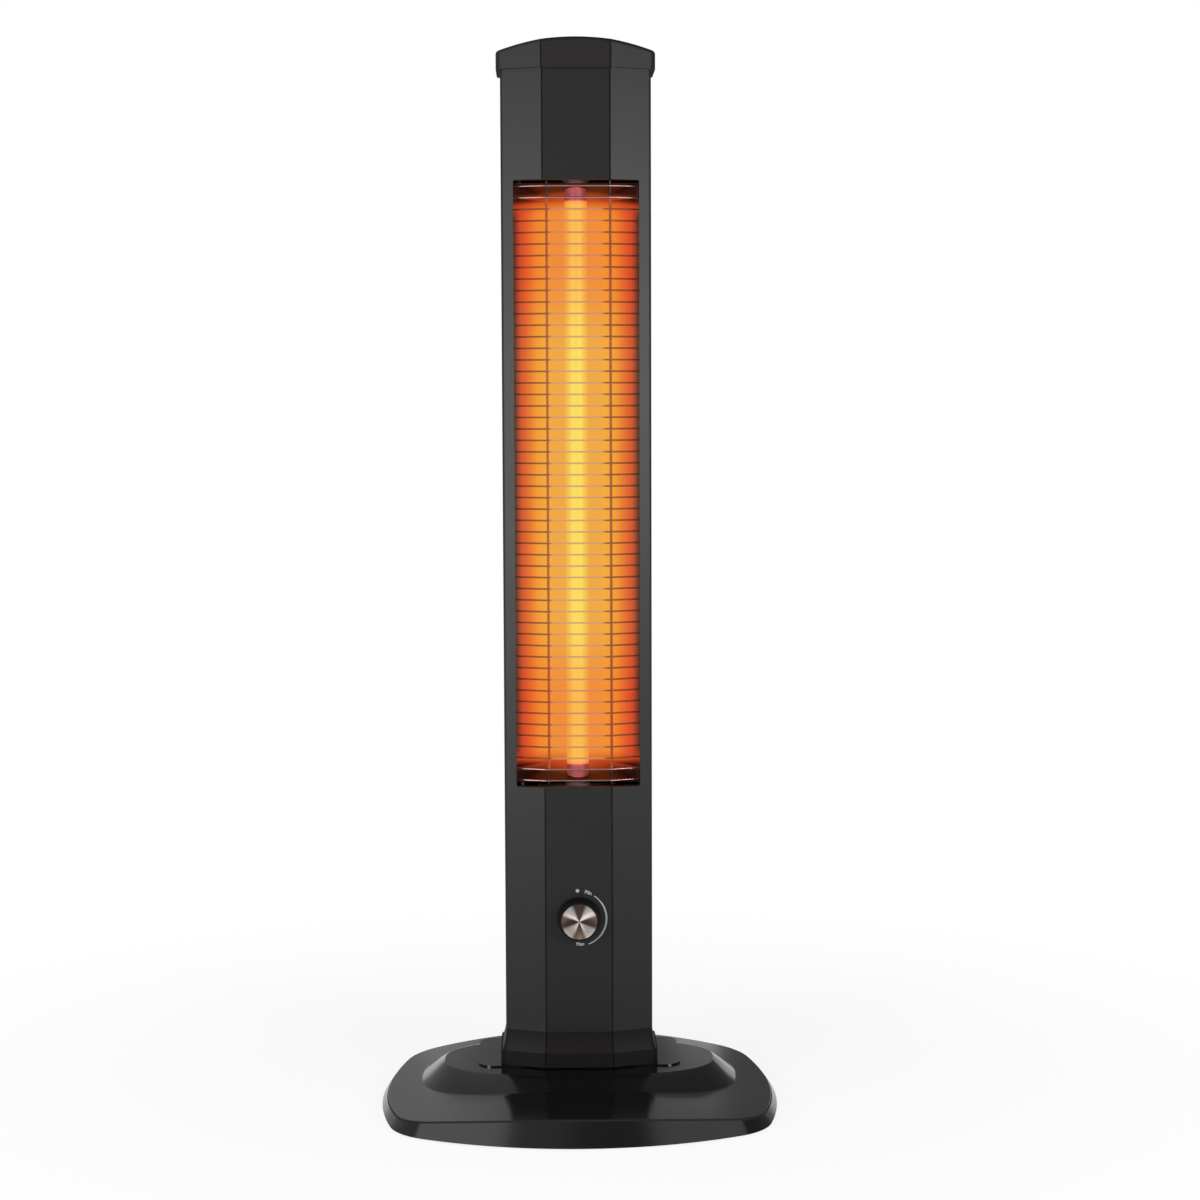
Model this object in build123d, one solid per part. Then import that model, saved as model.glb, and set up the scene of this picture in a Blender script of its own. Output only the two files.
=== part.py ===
from build123d import *
from math import atan2, copysign, cos, degrees, pi, radians, sin, sqrt, tan
import os

# Tower heater with one tall carbon lamp. Sizes are millimetres: X to the right,
# Y to the back, Z up, with z = 0 on the floor and x = y = 0 at the middle of the base.

# How far a cut or a join reaches past a face
over = 1.0

# Base outline, skirt and deck
base_half_width = 161.0
base_half_depth = 147.0
base_front_radius = 275.0
base_side_radius = 344.0
base_corner_radius = 51.0
skirt_lift = 1.5
skirt_slope = 0.75
deck_height = 20.4
crown_drop = 13.05
base_wall = 2.8
rib_thickness = 2.0
rib_x = 60.0
front_rib_y = -15.0
middle_rib_y = 40.5

# Raised plinth on the deck and the flat pad on the plinth
plinth_rise = 6.6
plinth_center_y = 22.0
crest_half_width = 111.0
crest_half_depth = 56.0
plinth_power = 2.5
plinth_rim_points = 24
plinth_drops = (0, 1.4, 4.2, 7.5, 13.0, 19.0)
plinth_side_runs = (0, 1.8, 5.5, 9.5, 16.0, 27.0)
plinth_front_runs = (0, 7.0, 16.0, 25.0, 37.0, 50.0)
pad_rise = 1.2
pad_half_width = 83.0
pad_front_y = -7.0
pad_back_margin = 2.7
pad_corner = 13.0

# Parts under the base
foot_radius = 11.0
foot_thickness = 3.0
foot_side_inset = 35.0
foot_front_inset = 69.0
plate_thickness = 2.0
plate_gap = 0.4
base_screw_side_inset = 57.0
base_screw_front_inset = 53.0
base_screw_radius = 1.95
base_screw_length = 7.5
boss_radius = 5.0

# Column section
column_half_width = 60.0
facet_half_width = 27.0
column_front_y = -11.0
facet_bow = 12.0
column_side_y = 56.0
column_back_half_width = 42.0
column_back_y = 74.0
front_corner_radius = 3.0
back_corner_radius = 7.0
front_wall = 2.2
rear_wall = 1.2
seam_y = 48.0
seam_gap = 0.3
lap_length = 8.0
groove_size = 1.1
port_size = 7.6
port_bore = 2.05
port_inset = 5.8
front_port_y = 16.0
rear_port_y = 34.0

# Heights of the column's pieces
collar_height = 11.2
shoe_height = 17.6
head_room = 95.0
cap_lap = 7.7

# Collar, shoe and cap
collar_grow = 4.3
collar_clearance = 0.5
shoe_grow = 3.0
cap_grow = 3.4
cap_clearance = 0.15
cap_height = 24.0
cap_arch_radius = 204.0
cap_wall = 2.4
cap_edge_radius = 3.0

# Window and wire guard
window_jamb = 9.8
window_height = 487.0
window_bottom = 258.0
window_corner = 1.2
lip_depth = 6.0
lip_thickness = 1.5
wire_end_gap = 4.3
wire_pitch = 9.2
wire_radius = 0.9
wire_sides = 8
upright_radius = 1.1
upright_inset = 0.6
edge_rod_reach = 3.4
wire_reach = 5.2
weld_depth = 0.3
seat_gap = 0.02

# Reflector and lamp
sheet = 0.8
reflector_end_inset = 13.5
hood_gap = 1.5
reflector_mouth_inset = 1.2
reflector_back_half = 23.0
reflector_depth = 34.0
reflector_bulge = 5.0
flange_gap = 0.4
lamp_y = 27.0
tube_radius = 9.0
tube_wall = 1.2
tube_overrun = 8.5
ribbon_width = 8.0
ribbon_thickness = 0.5
ribbon_end_inset = 18.5
ribbon_lead_radius = 1.0
end_cap_radius = 10.6
end_cap_shoulder = 12.5
end_cap_neck = 7.5
end_cap_socket = 8.0
end_cap_length = 20.0
shoulder_height = 3.0
neck_length = 9.0
fit_gap = 0.05
bulkhead_thickness = 1.2
bulkhead_gap = 0.25
bulkhead_flange = 14.0
clip_radius = 11.0
clip_thickness = 0.8

# Knob and regulator
knob_z = 150.6
knob_radius = 17.6
knob_front_radius = 15.6
knob_height = 13.0
knob_gap = 0.6
knob_wall = 2.2
knob_hub_radius = 5.2
knob_edge_radius = 1.0
face_radius = 14.3
face_thickness = 0.8
face_recess = 0.5
shaft_radius = 3.0
shaft_flat = 2.2
bush_radius = 4.8
bush_length = 7.0
nut_radius = 7.0
nut_thickness = 2.4
washer_radius = 7.4
washer_thickness = 0.5
regulator_radius = 14.0
regulator_depth = 18.0

# Control board and its bracket
bracket_height = 120.0
bracket_drop = 44.3
bracket_side_gap = 2.4
bracket_thickness = 1.2
standoff_radius = 3.0
standoff_length = 8.0
board_half_width = 36.0
board_drop = 6.0
board_height = 90.0
board_thickness = 1.6
board_hole_inset = 6.0
heat_sink_width = 42.0
heat_sink_height = 34.0
heat_sink_base = 3.0
heat_sink_depth = 16.0
fin_count = 8
fin_thickness = 1.4
capacitor_x = -18.0
capacitor_width = 20.0
capacitor_height = 16.0
capacitor_depth = 9.0
choke_x = 12.0
choke_radius = 9.0
choke_depth = 11.0
relay_x = 14.0
relay_width = 20.0
relay_height = 14.0
relay_depth = 15.0
board_margin = 4.0
terminal_rise = 2.0
terminal_width = 42.0
terminal_height = 18.0
terminal_depth = 15.0
terminal_wall = 1.5
terminal_ways = 4
cutout_radius = 8.0
cutout_height = 9.0
cutout_tab = 7.0
cutout_tab_width = 12.0
cutout_tab_depth = 6.0
cutout_x = 32.0
cutout_y = 46.0

# Foot frame and its bolts
frame_thickness = 3.0
frame_inset = 4.5
bolt_x = 30.0
bolt_front_y = 25.0
bolt_back_y = 56.0
bolt_radius = 3.0
bolt_head_radius = 5.0
bolt_head_height = 4.0
wrench_hole_radius = 7.0
weld_nut_radius = 5.8
weld_nut_height = 5.0
clearance_hole = 0.3
hole_depth = 4.0
screw_radius = 2.0
screw_head_radius = 4.0
screw_head_height = 2.6
screw_bite = 14.0
small_screw_radius = 1.5
small_head_radius = 3.0
small_head_height = 2.0
small_screw_length = 8.0
rear_screw_x = 24.0
cap_screw_x = 20.0

# Rear vents
vent_width = 26.0
vent_height = 3.2
vent_pitch = 12.0
vent_x = 18.0
upper_vent_rows = 26
upper_vent_bottom = 352.0
lower_vent_rows = 7
lower_vent_bottom = 110.0

# Tip-over switch
tip_x = -78.0
tip_y = 18.0
tip_travel = 5.5
tip_rest_height = 0.3
plunger_radius = 4.0
plunger_gap = 0.1
plunger_flange_radius = 6.4
plunger_flange_height = 2.0
tip_wall = 1.5
tip_housing_height = 16.5
tip_clearance = 0.6
spring_radius = 4.6
spring_wire = 0.7
spring_turns = 4
spring_gap = 0.1
tip_room_half = 16.0
switch_width = 8.0
switch_depth = 16.0
switch_height = 10.0

# Cord bush
bush_z = 86.0
cord_radius = 4.2
cord_bush_radius = 6.4
cord_flange_radius = 9.5
cord_flange_length = 4.0
cord_nut_length = 3.0

# Internal leads
lead_radius = 1.4
lead_run_x = 46.0
lead_run_y = 60.0
lead_bend = 7.0
lead_loop = 16.0

# Places worked out from the sizes above
plate_bottom = foot_thickness
plate_top = plate_bottom + plate_thickness
crown_radius = (base_half_width**2 + crown_drop**2) / (2 * crown_drop)
plinth_top = deck_height + plinth_rise
pad_top = plinth_top + pad_rise
pad_depth = column_back_y + collar_grow + pad_back_margin - pad_front_y
collar_top = pad_top + collar_height
column_bottom = collar_top + shoe_height
column_top = window_bottom + window_height + head_room
cap_bottom = column_top - cap_lap
corner_y = column_front_y + facet_bow
facet_slope = facet_bow / (column_half_width - facet_half_width)
facet_angle = degrees(atan2(facet_bow, column_half_width - facet_half_width))
inner_front_y = column_front_y + front_wall
inner_half_width = column_half_width - front_wall
window_half_width = column_half_width - window_jamb
guard_upright_x = facet_half_width - upright_inset
guard_edge_x = window_half_width + edge_rod_reach
guard_half_width = window_half_width + wire_reach
reflector_mouth = window_half_width - reflector_mouth_inset
reflector_flange = inner_half_width - flange_gap
bracket_half_width = inner_half_width - bracket_side_gap
port_x = column_half_width - port_inset
port_rear_y = rear_port_y + port_size / 2
foot_x = base_half_width - foot_side_inset
foot_y = base_half_depth - foot_front_inset
base_screw_x = base_half_width - base_screw_side_inset
base_screw_y = base_half_depth - base_screw_front_inset
lamp_z = window_bottom + window_height / 2
wire_count = 1 + round((window_height - 2 * wire_end_gap) / wire_pitch)
reflector_length = window_height - 2 * reflector_end_inset
hood_rise = reflector_end_inset - hood_gap
tube_length = window_height + 2 * tube_overrun
ribbon_length = window_height - 2 * ribbon_end_inset
guard_y = inner_front_y + lip_depth + wire_radius + seat_gap
upright_y = guard_y + wire_radius + upright_radius - weld_depth
edge_rod_y = upright_y + facet_slope * (guard_edge_x - guard_upright_x)
reflector_front_y = front_port_y - port_size / 2 - sheet - seat_gap
bulkhead_offset = tube_length / 2 - end_cap_socket + end_cap_length + shoulder_height
bracket_top = lamp_z - bulkhead_offset - bracket_drop
bracket_bottom = bracket_top - bracket_height
board_bottom = bracket_top - board_drop - board_height
terminal_bottom = bracket_bottom + terminal_rise
foot_frame_top = pad_top + frame_thickness
knob_back_y = column_front_y - knob_gap
knob_front_y = knob_back_y - knob_height


def block(x0, x1, y0, y1, z0, z1):
    """Box between two opposite corners."""
    return Pos((x0 + x1) / 2, (y0 + y1) / 2, (z0 + z1) / 2) * Box(x1 - x0, y1 - y0, z1 - z0)


def post(x, y, radius, z0, z1):
    """Upright cylinder."""
    return Pos(x, y, (z0 + z1) / 2) * Cylinder(radius, z1 - z0)


def pin(x, z, radius, y0, y1):
    """Cylinder that lies front to back."""
    return Pos(x, (y0 + y1) / 2, z) * Rot(90, 0, 0) * Cylinder(radius, y1 - y0)


def prism(face, z0, z1):
    """Sketch in the XY plane raised between two heights."""
    return Pos(0, 0, z0) * extrude(face, z1 - z0)


def front_view(sketch, y0, y1):
    """Sketch drawn as X and Z, made solid between two depths."""
    plane = Plane(origin=(0, y1, 0), x_dir=(1, 0, 0), z_dir=(0, -1, 0))
    return extrude(plane * sketch, y1 - y0)


def union(shapes):
    """One solid from many touching ones."""
    first, *rest = shapes
    return first.fuse(*rest) if rest else first


def save(name, *shapes):
    """Write one node, with each of its pieces as a solid."""
    solids = [solid for shape in shapes for solid in shape.solids()]
    export_step(Compound(solids), f"parts/{name}.step")


def base_outline(inset):
    """Rounded plan of the base from eight tangent arcs, moved in by the inset."""
    front_center = Vector(0, base_front_radius - base_half_depth)
    side_center = Vector(base_half_width - base_side_radius, 0)
    to_side = side_center - front_center
    reach_front = base_front_radius - base_corner_radius
    reach_side = base_side_radius - base_corner_radius
    along = (reach_front**2 - reach_side**2 + to_side.length**2) / (2 * to_side.length)
    across = sqrt(reach_front**2 - along**2)
    direction = to_side.normalized()
    normal = Vector(-direction.Y, direction.X)
    corner = front_center + direction * along + normal * across
    front_dir = (corner - front_center).normalized()
    side_dir = (corner - side_center).normalized()
    middle_dir = (front_dir + side_dir).normalized()
    radius = base_corner_radius - inset
    front_end = corner + front_dir * radius
    middle = corner + middle_dir * radius
    side_end = corner + side_dir * radius
    nose = base_half_depth - inset
    flank = base_half_width - inset

    def at(point, sx, sy):
        return (sx * point.X, sy * point.Y)

    arcs = [
        ThreePointArc(at(front_end, -1, 1), (0, -nose), at(front_end, 1, 1)),
        ThreePointArc(at(front_end, 1, 1), at(middle, 1, 1), at(side_end, 1, 1)),
        ThreePointArc(at(side_end, 1, 1), (flank, 0), at(side_end, 1, -1)),
        ThreePointArc(at(side_end, 1, -1), at(middle, 1, -1), at(front_end, 1, -1)),
        ThreePointArc(at(front_end, 1, -1), (0, nose), at(front_end, -1, -1)),
        ThreePointArc(at(front_end, -1, -1), at(middle, -1, -1), at(side_end, -1, -1)),
        ThreePointArc(at(side_end, -1, -1), (-flank, 0), at(side_end, -1, 1)),
        ThreePointArc(at(side_end, -1, 1), at(middle, -1, 1), at(front_end, -1, 1)),
    ]
    return make_face(Curve() + arcs)


def plinth_rim(half_width, half_depth):
    """Squarish oval from the superellipse formula."""
    points = []
    for i in range(plinth_rim_points):
        turn = 2 * pi * i / plinth_rim_points
        x = copysign(abs(cos(turn)) ** (2 / plinth_power), cos(turn))
        y = copysign(abs(sin(turn)) ** (2 / plinth_power), sin(turn))
        points.append((half_width * x, half_depth * y))
    return make_face(Spline(*points, periodic=True))


def base_body(wall):
    """Outside of the base for a wall of 0, or the hollow inside it for a real wall."""
    inset = wall * sqrt(1 + skirt_slope**2)
    rise = plinth_top + pad_rise
    lower = Pos(0, 0, skirt_lift) * base_outline(inset)
    upper = Pos(0, 0, skirt_lift + rise) * base_outline(inset + skirt_slope * rise)
    skirt = loft([lower, upper], ruled=True)
    crown_z = deck_height - wall - crown_radius
    crown = Pos(0, 0, crown_z) * Rot(90, 0, 0) * Cylinder(crown_radius, 3 * base_half_depth)
    rims = []
    for drop, side_run, front_run in zip(plinth_drops, plinth_side_runs, plinth_front_runs):
        rim = plinth_rim(crest_half_width + side_run - wall, crest_half_depth + front_run - wall)
        rims.append(Pos(0, plinth_center_y, plinth_top - wall - drop) * rim)
    return (skirt & crown) + loft(rims)


def corners(x, y):
    """The four places that mirror one place in X and Y."""
    return [(sx * x, sy * y) for sx in (-1, 1) for sy in (-1, 1)]


def base_screw_places():
    return corners(base_screw_x, base_screw_y)


def frame_bolt_places():
    return [(sx * bolt_x, y) for sx in (-1, 1) for y in (bolt_front_y, bolt_back_y)]


def port_places():
    return [(sx * port_x, y) for sx in (-1, 1) for y in (front_port_y, rear_port_y)]


def base_shell():
    outside = base_body(0)
    pad = Pos(0, pad_front_y + pad_depth / 2) * RectangleRounded(
        2 * pad_half_width, pad_depth, pad_corner)
    shell = outside + prism(pad, plinth_top - 2 * base_wall, pad_top) - base_body(base_wall)
    floor = plate_top
    ribs = []
    for x in (-rib_x, 0, rib_x):
        ribs.append(block(x - rib_thickness / 2, x + rib_thickness / 2,
                          -base_half_depth, base_half_depth, floor, plinth_top))
    for y in (front_rib_y, middle_rib_y):
        ribs.append(block(-base_half_width, base_half_width,
                          y - rib_thickness / 2, y + rib_thickness / 2, floor, plinth_top))
    for x, y in base_screw_places():
        ribs.append(post(x, y, boss_radius, floor, plinth_top))
    tip_room = block(tip_x - tip_room_half, tip_x + 2 * tip_room_half, tip_y - tip_room_half,
                     tip_y + tip_room_half, floor, plinth_top)
    trim = base_body(base_wall / 2)
    shell = shell + [(rib & trim) - tip_room for rib in ribs]
    holes = []
    for x, y in base_screw_places():
        top = plate_bottom + base_screw_length + clearance_hole
        holes.append(post(x, y, base_screw_radius + fit_gap, floor - over, top))
    for x, y in frame_bolt_places():
        holes.append(post(x, y, bolt_radius + clearance_hole, floor, pad_top + over))
    for x, y in port_places():
        holes.append(post(x, y, screw_head_radius + clearance_hole, floor, pad_top + over))
    return shell - holes


def base_plate():
    """Heavy steel sheet that closes the base from below."""
    inset = base_wall * sqrt(1 + skirt_slope**2) + plate_gap
    inset += skirt_slope * (plate_top - skirt_lift)
    plate = prism(base_outline(inset), plate_bottom, plate_top)
    holes = [post(x, y, base_screw_radius + clearance_hole, 0, plate_top + over)
             for x, y in base_screw_places()]
    holes += [post(x, y, wrench_hole_radius, 0, plate_top + over) for x, y in frame_bolt_places()]
    holes.append(post(tip_x, tip_y, plunger_radius + plunger_gap, 0, plate_top + over))
    return plate - holes


def rubber_feet():
    return [post(x, y, foot_radius, 0, foot_thickness) for x, y in corners(foot_x, foot_y)]


def screw(x, y, head_z, radius, length, head_radius, head_height):
    """Pan-head screw that points up, with its head below head_z."""
    shank = post(x, y, radius, head_z - head_height / 2, head_z + length)
    return shank + post(x, y, head_radius, head_z - head_height, head_z)


def rear_screw(x, z, head_y, radius, length, head_radius, head_height):
    """Pan-head screw that points to the front, with its head behind head_y."""
    shank = pin(x, z, radius, head_y - length, head_y + head_height / 2)
    return shank + pin(x, z, head_radius, head_y, head_y + head_height)


def base_plate_screws():
    head = screw_head_height - 0.3
    return [screw(x, y, plate_bottom, base_screw_radius, base_screw_length,
                  screw_head_radius, head) for x, y in base_screw_places()]


def column_face(grow):
    """Plan of the column with three front facets, grown or shrunk all round."""
    points = [
        (-column_half_width, corner_y),
        (-facet_half_width, column_front_y),
        (facet_half_width, column_front_y),
        (column_half_width, corner_y),
        (column_half_width, column_side_y),
        (column_back_half_width, column_back_y),
        (-column_back_half_width, column_back_y),
        (-column_half_width, column_side_y),
    ]
    face = make_face(Polyline(*points, close=True))
    if grow:
        face = offset(face, amount=grow, kind=Kind.INTERSECTION)
    depth_order = face.vertices().sort_by(Axis.Y)
    face = fillet(depth_order[2:4], max(front_corner_radius + grow, 0.4))
    depth_order = face.vertices().sort_by(Axis.Y)
    return fillet(depth_order[-4:], max(back_corner_radius + grow, 0.4))


def facet_grooves(grow):
    """Two small square cuts, on edge, at the lines between the front facets."""
    x = facet_half_width + grow * tan(radians(facet_angle / 2))
    y = column_front_y - grow
    cut = Rot(0, 0, 45) * Rectangle(groove_size, groove_size)
    return Pos(-x, y) * cut + Pos(x, y) * cut


def foot_collar():
    ring = column_face(collar_grow) - column_face(collar_clearance) - facet_grooves(collar_grow)
    return prism(ring, pad_top, collar_top)


def column_shoe():
    """Flared neck under the column, with posts that carry the column's screws."""
    flare_steps = 4
    outers = []
    for i in range(flare_steps + 1):
        share = i / flare_steps
        grow = shoe_grow * (1 - share) ** 2
        outers.append(Pos(0, 0, collar_top + share * shoe_height) * column_face(grow))
    neck = loft(outers, ruled=True)
    hollow = prism(column_face(-front_wall), collar_top - over, column_bottom + over)
    grooves = [Pos(0, 0, collar_top + shoe_height * (i + 0.5) / flare_steps)
               * extrude(facet_grooves(shoe_grow * (1 - (i + 0.5) / flare_steps) ** 2),
                         shoe_height / flare_steps / 2, both=True) for i in range(flare_steps)]
    posts = []
    bores = []
    for x, y in port_places():
        posts.append(prism(Pos(x, y) * Rectangle(port_size, port_size),
                           foot_frame_top, column_bottom))
        bores.append(post(x, y, screw_radius + clearance_hole / 2, pad_top, column_bottom + over))
    return (neck - hollow - grooves) + posts - bores


def foot_frame():
    """Steel plate on the base's pad, with four weld nuts for the bolts from below."""
    plate = prism(column_face(-frame_inset), pad_top, foot_frame_top)
    ears = [prism(Pos(x, y) * Rectangle(port_size, port_size), pad_top, foot_frame_top)
            for x, y in port_places()]
    nuts = [prism(Pos(x, y) * RegularPolygon(weld_nut_radius, 6), foot_frame_top - frame_thickness / 2,
                  foot_frame_top + weld_nut_height) for x, y in frame_bolt_places()]
    bores = [post(x, y, bolt_radius + fit_gap, pad_top - over, foot_frame_top + weld_nut_height + over)
             for x, y in frame_bolt_places()]
    bores += [post(x, y, screw_radius + clearance_hole, pad_top - over, foot_frame_top + over)
              for x, y in port_places()]
    return plate + ears + nuts - bores


def foot_bolts():
    under_pad = plinth_top - base_wall
    length = foot_frame_top + weld_nut_height - under_pad
    return [screw(x, y, under_pad, bolt_radius, length, bolt_head_radius, bolt_head_height)
            for x, y in frame_bolt_places()]


def column_screws():
    length = column_bottom + screw_bite - pad_top
    return [screw(x, y, pad_top, screw_radius, length, screw_head_radius, screw_head_height)
            for x, y in port_places()]


def window_shape(grow, y0, y1):
    sketch = Pos(0, lamp_z) * RectangleRounded(
        2 * (window_half_width + grow), window_height + 2 * grow, window_corner + grow)
    return front_view(sketch, y0, y1)


def front_profile():
    """Extruded front of the column: three facets, two grooves, four screw ports, a window."""
    front_half = Pos(0, seam_y - column_back_y) * Rectangle(
        4 * column_half_width, 2 * column_back_y)
    wall = column_face(0) - column_face(-front_wall)
    section = wall & front_half
    for x, y in port_places():
        section = section + Pos(x, y) * Rectangle(port_size, port_size)
    for x, y in port_places():
        section = section - Pos(x, y) * Circle(port_bore)
    section = section - facet_grooves(0)
    body = prism(section, column_bottom, column_top)
    behind = corner_y + front_wall + lip_depth
    body = body - window_shape(0, column_front_y - over, behind)
    inside = column_face(-front_wall)
    lip_band = inside - Pos(0, lip_depth) * inside
    lip_reach = window_height / 2 + lip_thickness
    lips = prism(lip_band, lamp_z - lip_reach, lamp_z + lip_reach)
    lips = lips & (window_shape(lip_thickness, column_front_y, 2 * behind)
                   - window_shape(0, column_front_y - over, 2 * behind + over))
    knob_hole = pin(0, knob_z, bush_radius + clearance_hole, column_front_y - over,
                    inner_front_y + over)
    return body + lips - knob_hole


def wire_path(reach, y):
    """Bowed line across the window, parallel to the front facets."""
    side_y = y + facet_slope * (reach - guard_upright_x)
    return [(-reach, side_y), (-guard_upright_x, y), (guard_upright_x, y), (reach, side_y)]


def wire_guard():
    """Welded guard: bowed cross wires on two uprights and two edge rods."""
    path = Polyline(*[(x, y, 0) for x, y in wire_path(guard_half_width, guard_y)])
    start = Plane(origin=path @ 0, z_dir=path % 0, x_dir=(0, 0, 1))
    section = start * RegularPolygon(wire_radius, wire_sides)
    wire = sweep(section, path=path, transition=Transition.RIGHT)
    span = (wire_count - 1) * wire_pitch
    bottom = lamp_z - span / 2
    wires = [Pos(0, 0, bottom + i * wire_pitch) * wire for i in range(wire_count)]
    overhang = 3 * wire_radius
    rods = []
    for x, y in ((guard_upright_x, upright_y), (guard_edge_x, edge_rod_y)):
        for side in (-1, 1):
            rod = Pos(side * x, y) * RegularPolygon(upright_radius, wire_sides)
            rods.append(prism(rod, bottom - overhang, bottom + span + overhang))
    return union(rods[:1]).fuse(*rods[1:], *wires)


def reflector_region():
    """Inside of the reflector's trough, open to the front."""
    back = reflector_front_y + reflector_depth
    rim = Polyline((reflector_back_half, back), (reflector_mouth, reflector_front_y),
                   (-reflector_mouth, reflector_front_y), (-reflector_back_half, back))
    bulge = ThreePointArc((-reflector_back_half, back), (0, back + reflector_bulge),
                          (reflector_back_half, back))
    return make_face(rim + bulge)


def reflector():
    """Polished trough with flanges that clamp the guard against the window's lips."""
    trough = reflector_region()
    opening = Pos(0, reflector_front_y) * Rectangle(2 * reflector_mouth, 2 * sheet)
    skin = offset(trough, amount=sheet, kind=Kind.INTERSECTION) - trough - opening
    skin = skin & (Pos(0, reflector_front_y + 2 * reflector_depth)
                   * Rectangle(4 * reflector_mouth, 4 * reflector_depth))
    flange_width = reflector_flange - reflector_mouth
    for side in (-1, 1):
        middle = side * (reflector_mouth + flange_width / 2)
        skin = skin + Pos(middle, reflector_front_y + sheet / 2) * Rectangle(flange_width, sheet)
    half = reflector_length / 2
    return prism(skin, lamp_z - half, lamp_z + half)


def hood_room(region, lower_by):
    """Part of an upright region that lies under the hood's slope."""
    slope = (hood_rise - sheet) / (reflector_depth + reflector_bulge + sheet)
    front, back = -2 * sheet, 2 * reflector_depth
    lower_by = lower_by * sqrt(1 + slope**2)
    side_view = make_face(Polyline(
        (reflector_front_y + front, -over), (reflector_front_y + back, -over),
        (reflector_front_y + back, hood_rise - lower_by - slope * back),
        (reflector_front_y + front, hood_rise - lower_by - slope * front), close=True))
    under = extrude(Plane.YZ * side_view, column_half_width, both=True)
    return prism(region, -over, 2 * hood_rise) & under


def reflector_end(side):
    """Sloping hood that closes the trough above (1) or below (-1) the lit length."""
    region = reflector_region()
    outside = offset(region, amount=sheet, kind=Kind.INTERSECTION)
    hood = hood_room(outside, 0) - hood_room(region, sheet)
    hood = hood - post(0, lamp_y, tube_radius + 2 * clearance_hole, -over, 2 * hood_rise)
    hood = hood & block(-column_half_width, column_half_width, reflector_front_y,
                        column_back_y, 0, hood_rise)
    if side < 0:
        hood = mirror(hood, Plane.XY)
    return Pos(0, 0, lamp_z + side * reflector_length / 2) * hood


def bulkhead(side):
    """Sheet tray across the column that holds one end of the lamp."""
    rear_half = Pos(0, seam_y + column_back_y) * Rectangle(4 * column_half_width, 2 * column_back_y)
    face = column_face(-front_wall - bulkhead_gap)
    face = face + (column_face(-rear_wall - seat_gap) & rear_half)
    for x, y in port_places():
        room = port_size + 2 * bulkhead_gap
        wall_side = Pos(x + (1 if x > 0 else -1) * port_size / 2, y)
        face = face - Pos(x, y) * Rectangle(room, room) - wall_side * Rectangle(room, room)
    lap_room = front_wall + rear_wall + 2 * bulkhead_gap
    inner = column_half_width - lap_room
    face = face & Rectangle(2 * inner, 4 * column_back_y)
    edge = lamp_z + side * bulkhead_offset
    low, high = sorted((edge, edge + side * bulkhead_thickness))
    plate = prism(face, low, high)
    back = column_back_y - rear_wall - seat_gap
    tab = rear_screw_x + 3 * small_head_radius
    ends = sorted((edge, edge - side * bulkhead_flange))
    flange = block(-tab, tab, back - bulkhead_thickness, back, ends[0], max(ends[1], high))
    flange = flange if side > 0 else block(-tab, tab, back - bulkhead_thickness, back, low, ends[1])
    z = edge - side * bulkhead_flange / 2
    holes = [pin(sx * rear_screw_x, z, small_screw_radius + fit_gap, back - hole_depth, back + over)
             for sx in (-1, 1)]
    holes.append(post(0, lamp_y, end_cap_neck + fit_gap, low - over, high + over))
    holes.append(post(-lead_run_x, lead_run_y, 2 * lead_radius, low - over, high + over))
    return plate + flange - holes


def lamp_tube():
    tube = post(0, lamp_y, tube_radius, lamp_z - tube_length / 2, lamp_z + tube_length / 2)
    return tube - post(0, lamp_y, tube_radius - tube_wall, 0, column_top)


def carbon_element():
    """Flat carbon ribbon with a lead rod at each end."""
    ribbon = Pos(0, lamp_y, lamp_z) * Box(ribbon_width, ribbon_thickness, ribbon_length)
    return ribbon + post(0, lamp_y, ribbon_lead_radius, lamp_z - tube_length / 2,
                         lamp_z + tube_length / 2)


def lamp_end(side):
    """Ceramic cap on the tube: socket, shoulder and a neck through the bulkhead."""
    tube_end = tube_length / 2
    open_end = tube_end - end_cap_socket
    shoulder = open_end + end_cap_length
    top = shoulder + shoulder_height
    profile = [(0, tube_end), (tube_radius + fit_gap, tube_end), (tube_radius + fit_gap, open_end),
               (end_cap_radius, open_end), (end_cap_radius, shoulder),
               (end_cap_shoulder, shoulder), (end_cap_shoulder, top),
               (end_cap_neck, top), (end_cap_neck, top + neck_length), (0, top + neck_length)]
    face = Plane.XZ * make_face(Polyline(*profile, close=True))
    cap = revolve(face, Axis.Z)
    if side < 0:
        cap = mirror(cap, Plane.XY)
    return Pos(0, lamp_y, lamp_z) * cap


def lamp_clips():
    """Push-on rings that hold the ceramic necks to the bulkheads."""
    clips = []
    for side in (-1, 1):
        near = lamp_z + side * (bulkhead_offset + bulkhead_thickness)
        low, high = sorted((near, near + side * clip_thickness))
        clips.append(post(0, lamp_y, clip_radius, low, high)
                     - post(0, lamp_y, end_cap_neck + fit_gap, low - over, high + over))
    return clips


def vent_slots(rows, bottom):
    """Two columns of level slots through the back of the column."""
    slots = []
    for i in range(rows):
        for side in (-1, 1):
            slot = Pos(side * vent_x, bottom + i * vent_pitch) * SlotOverall(vent_width, vent_height)
            slots.append(front_view(slot, column_back_y - 2 * rear_wall, column_back_y + over))
    return slots


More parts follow.
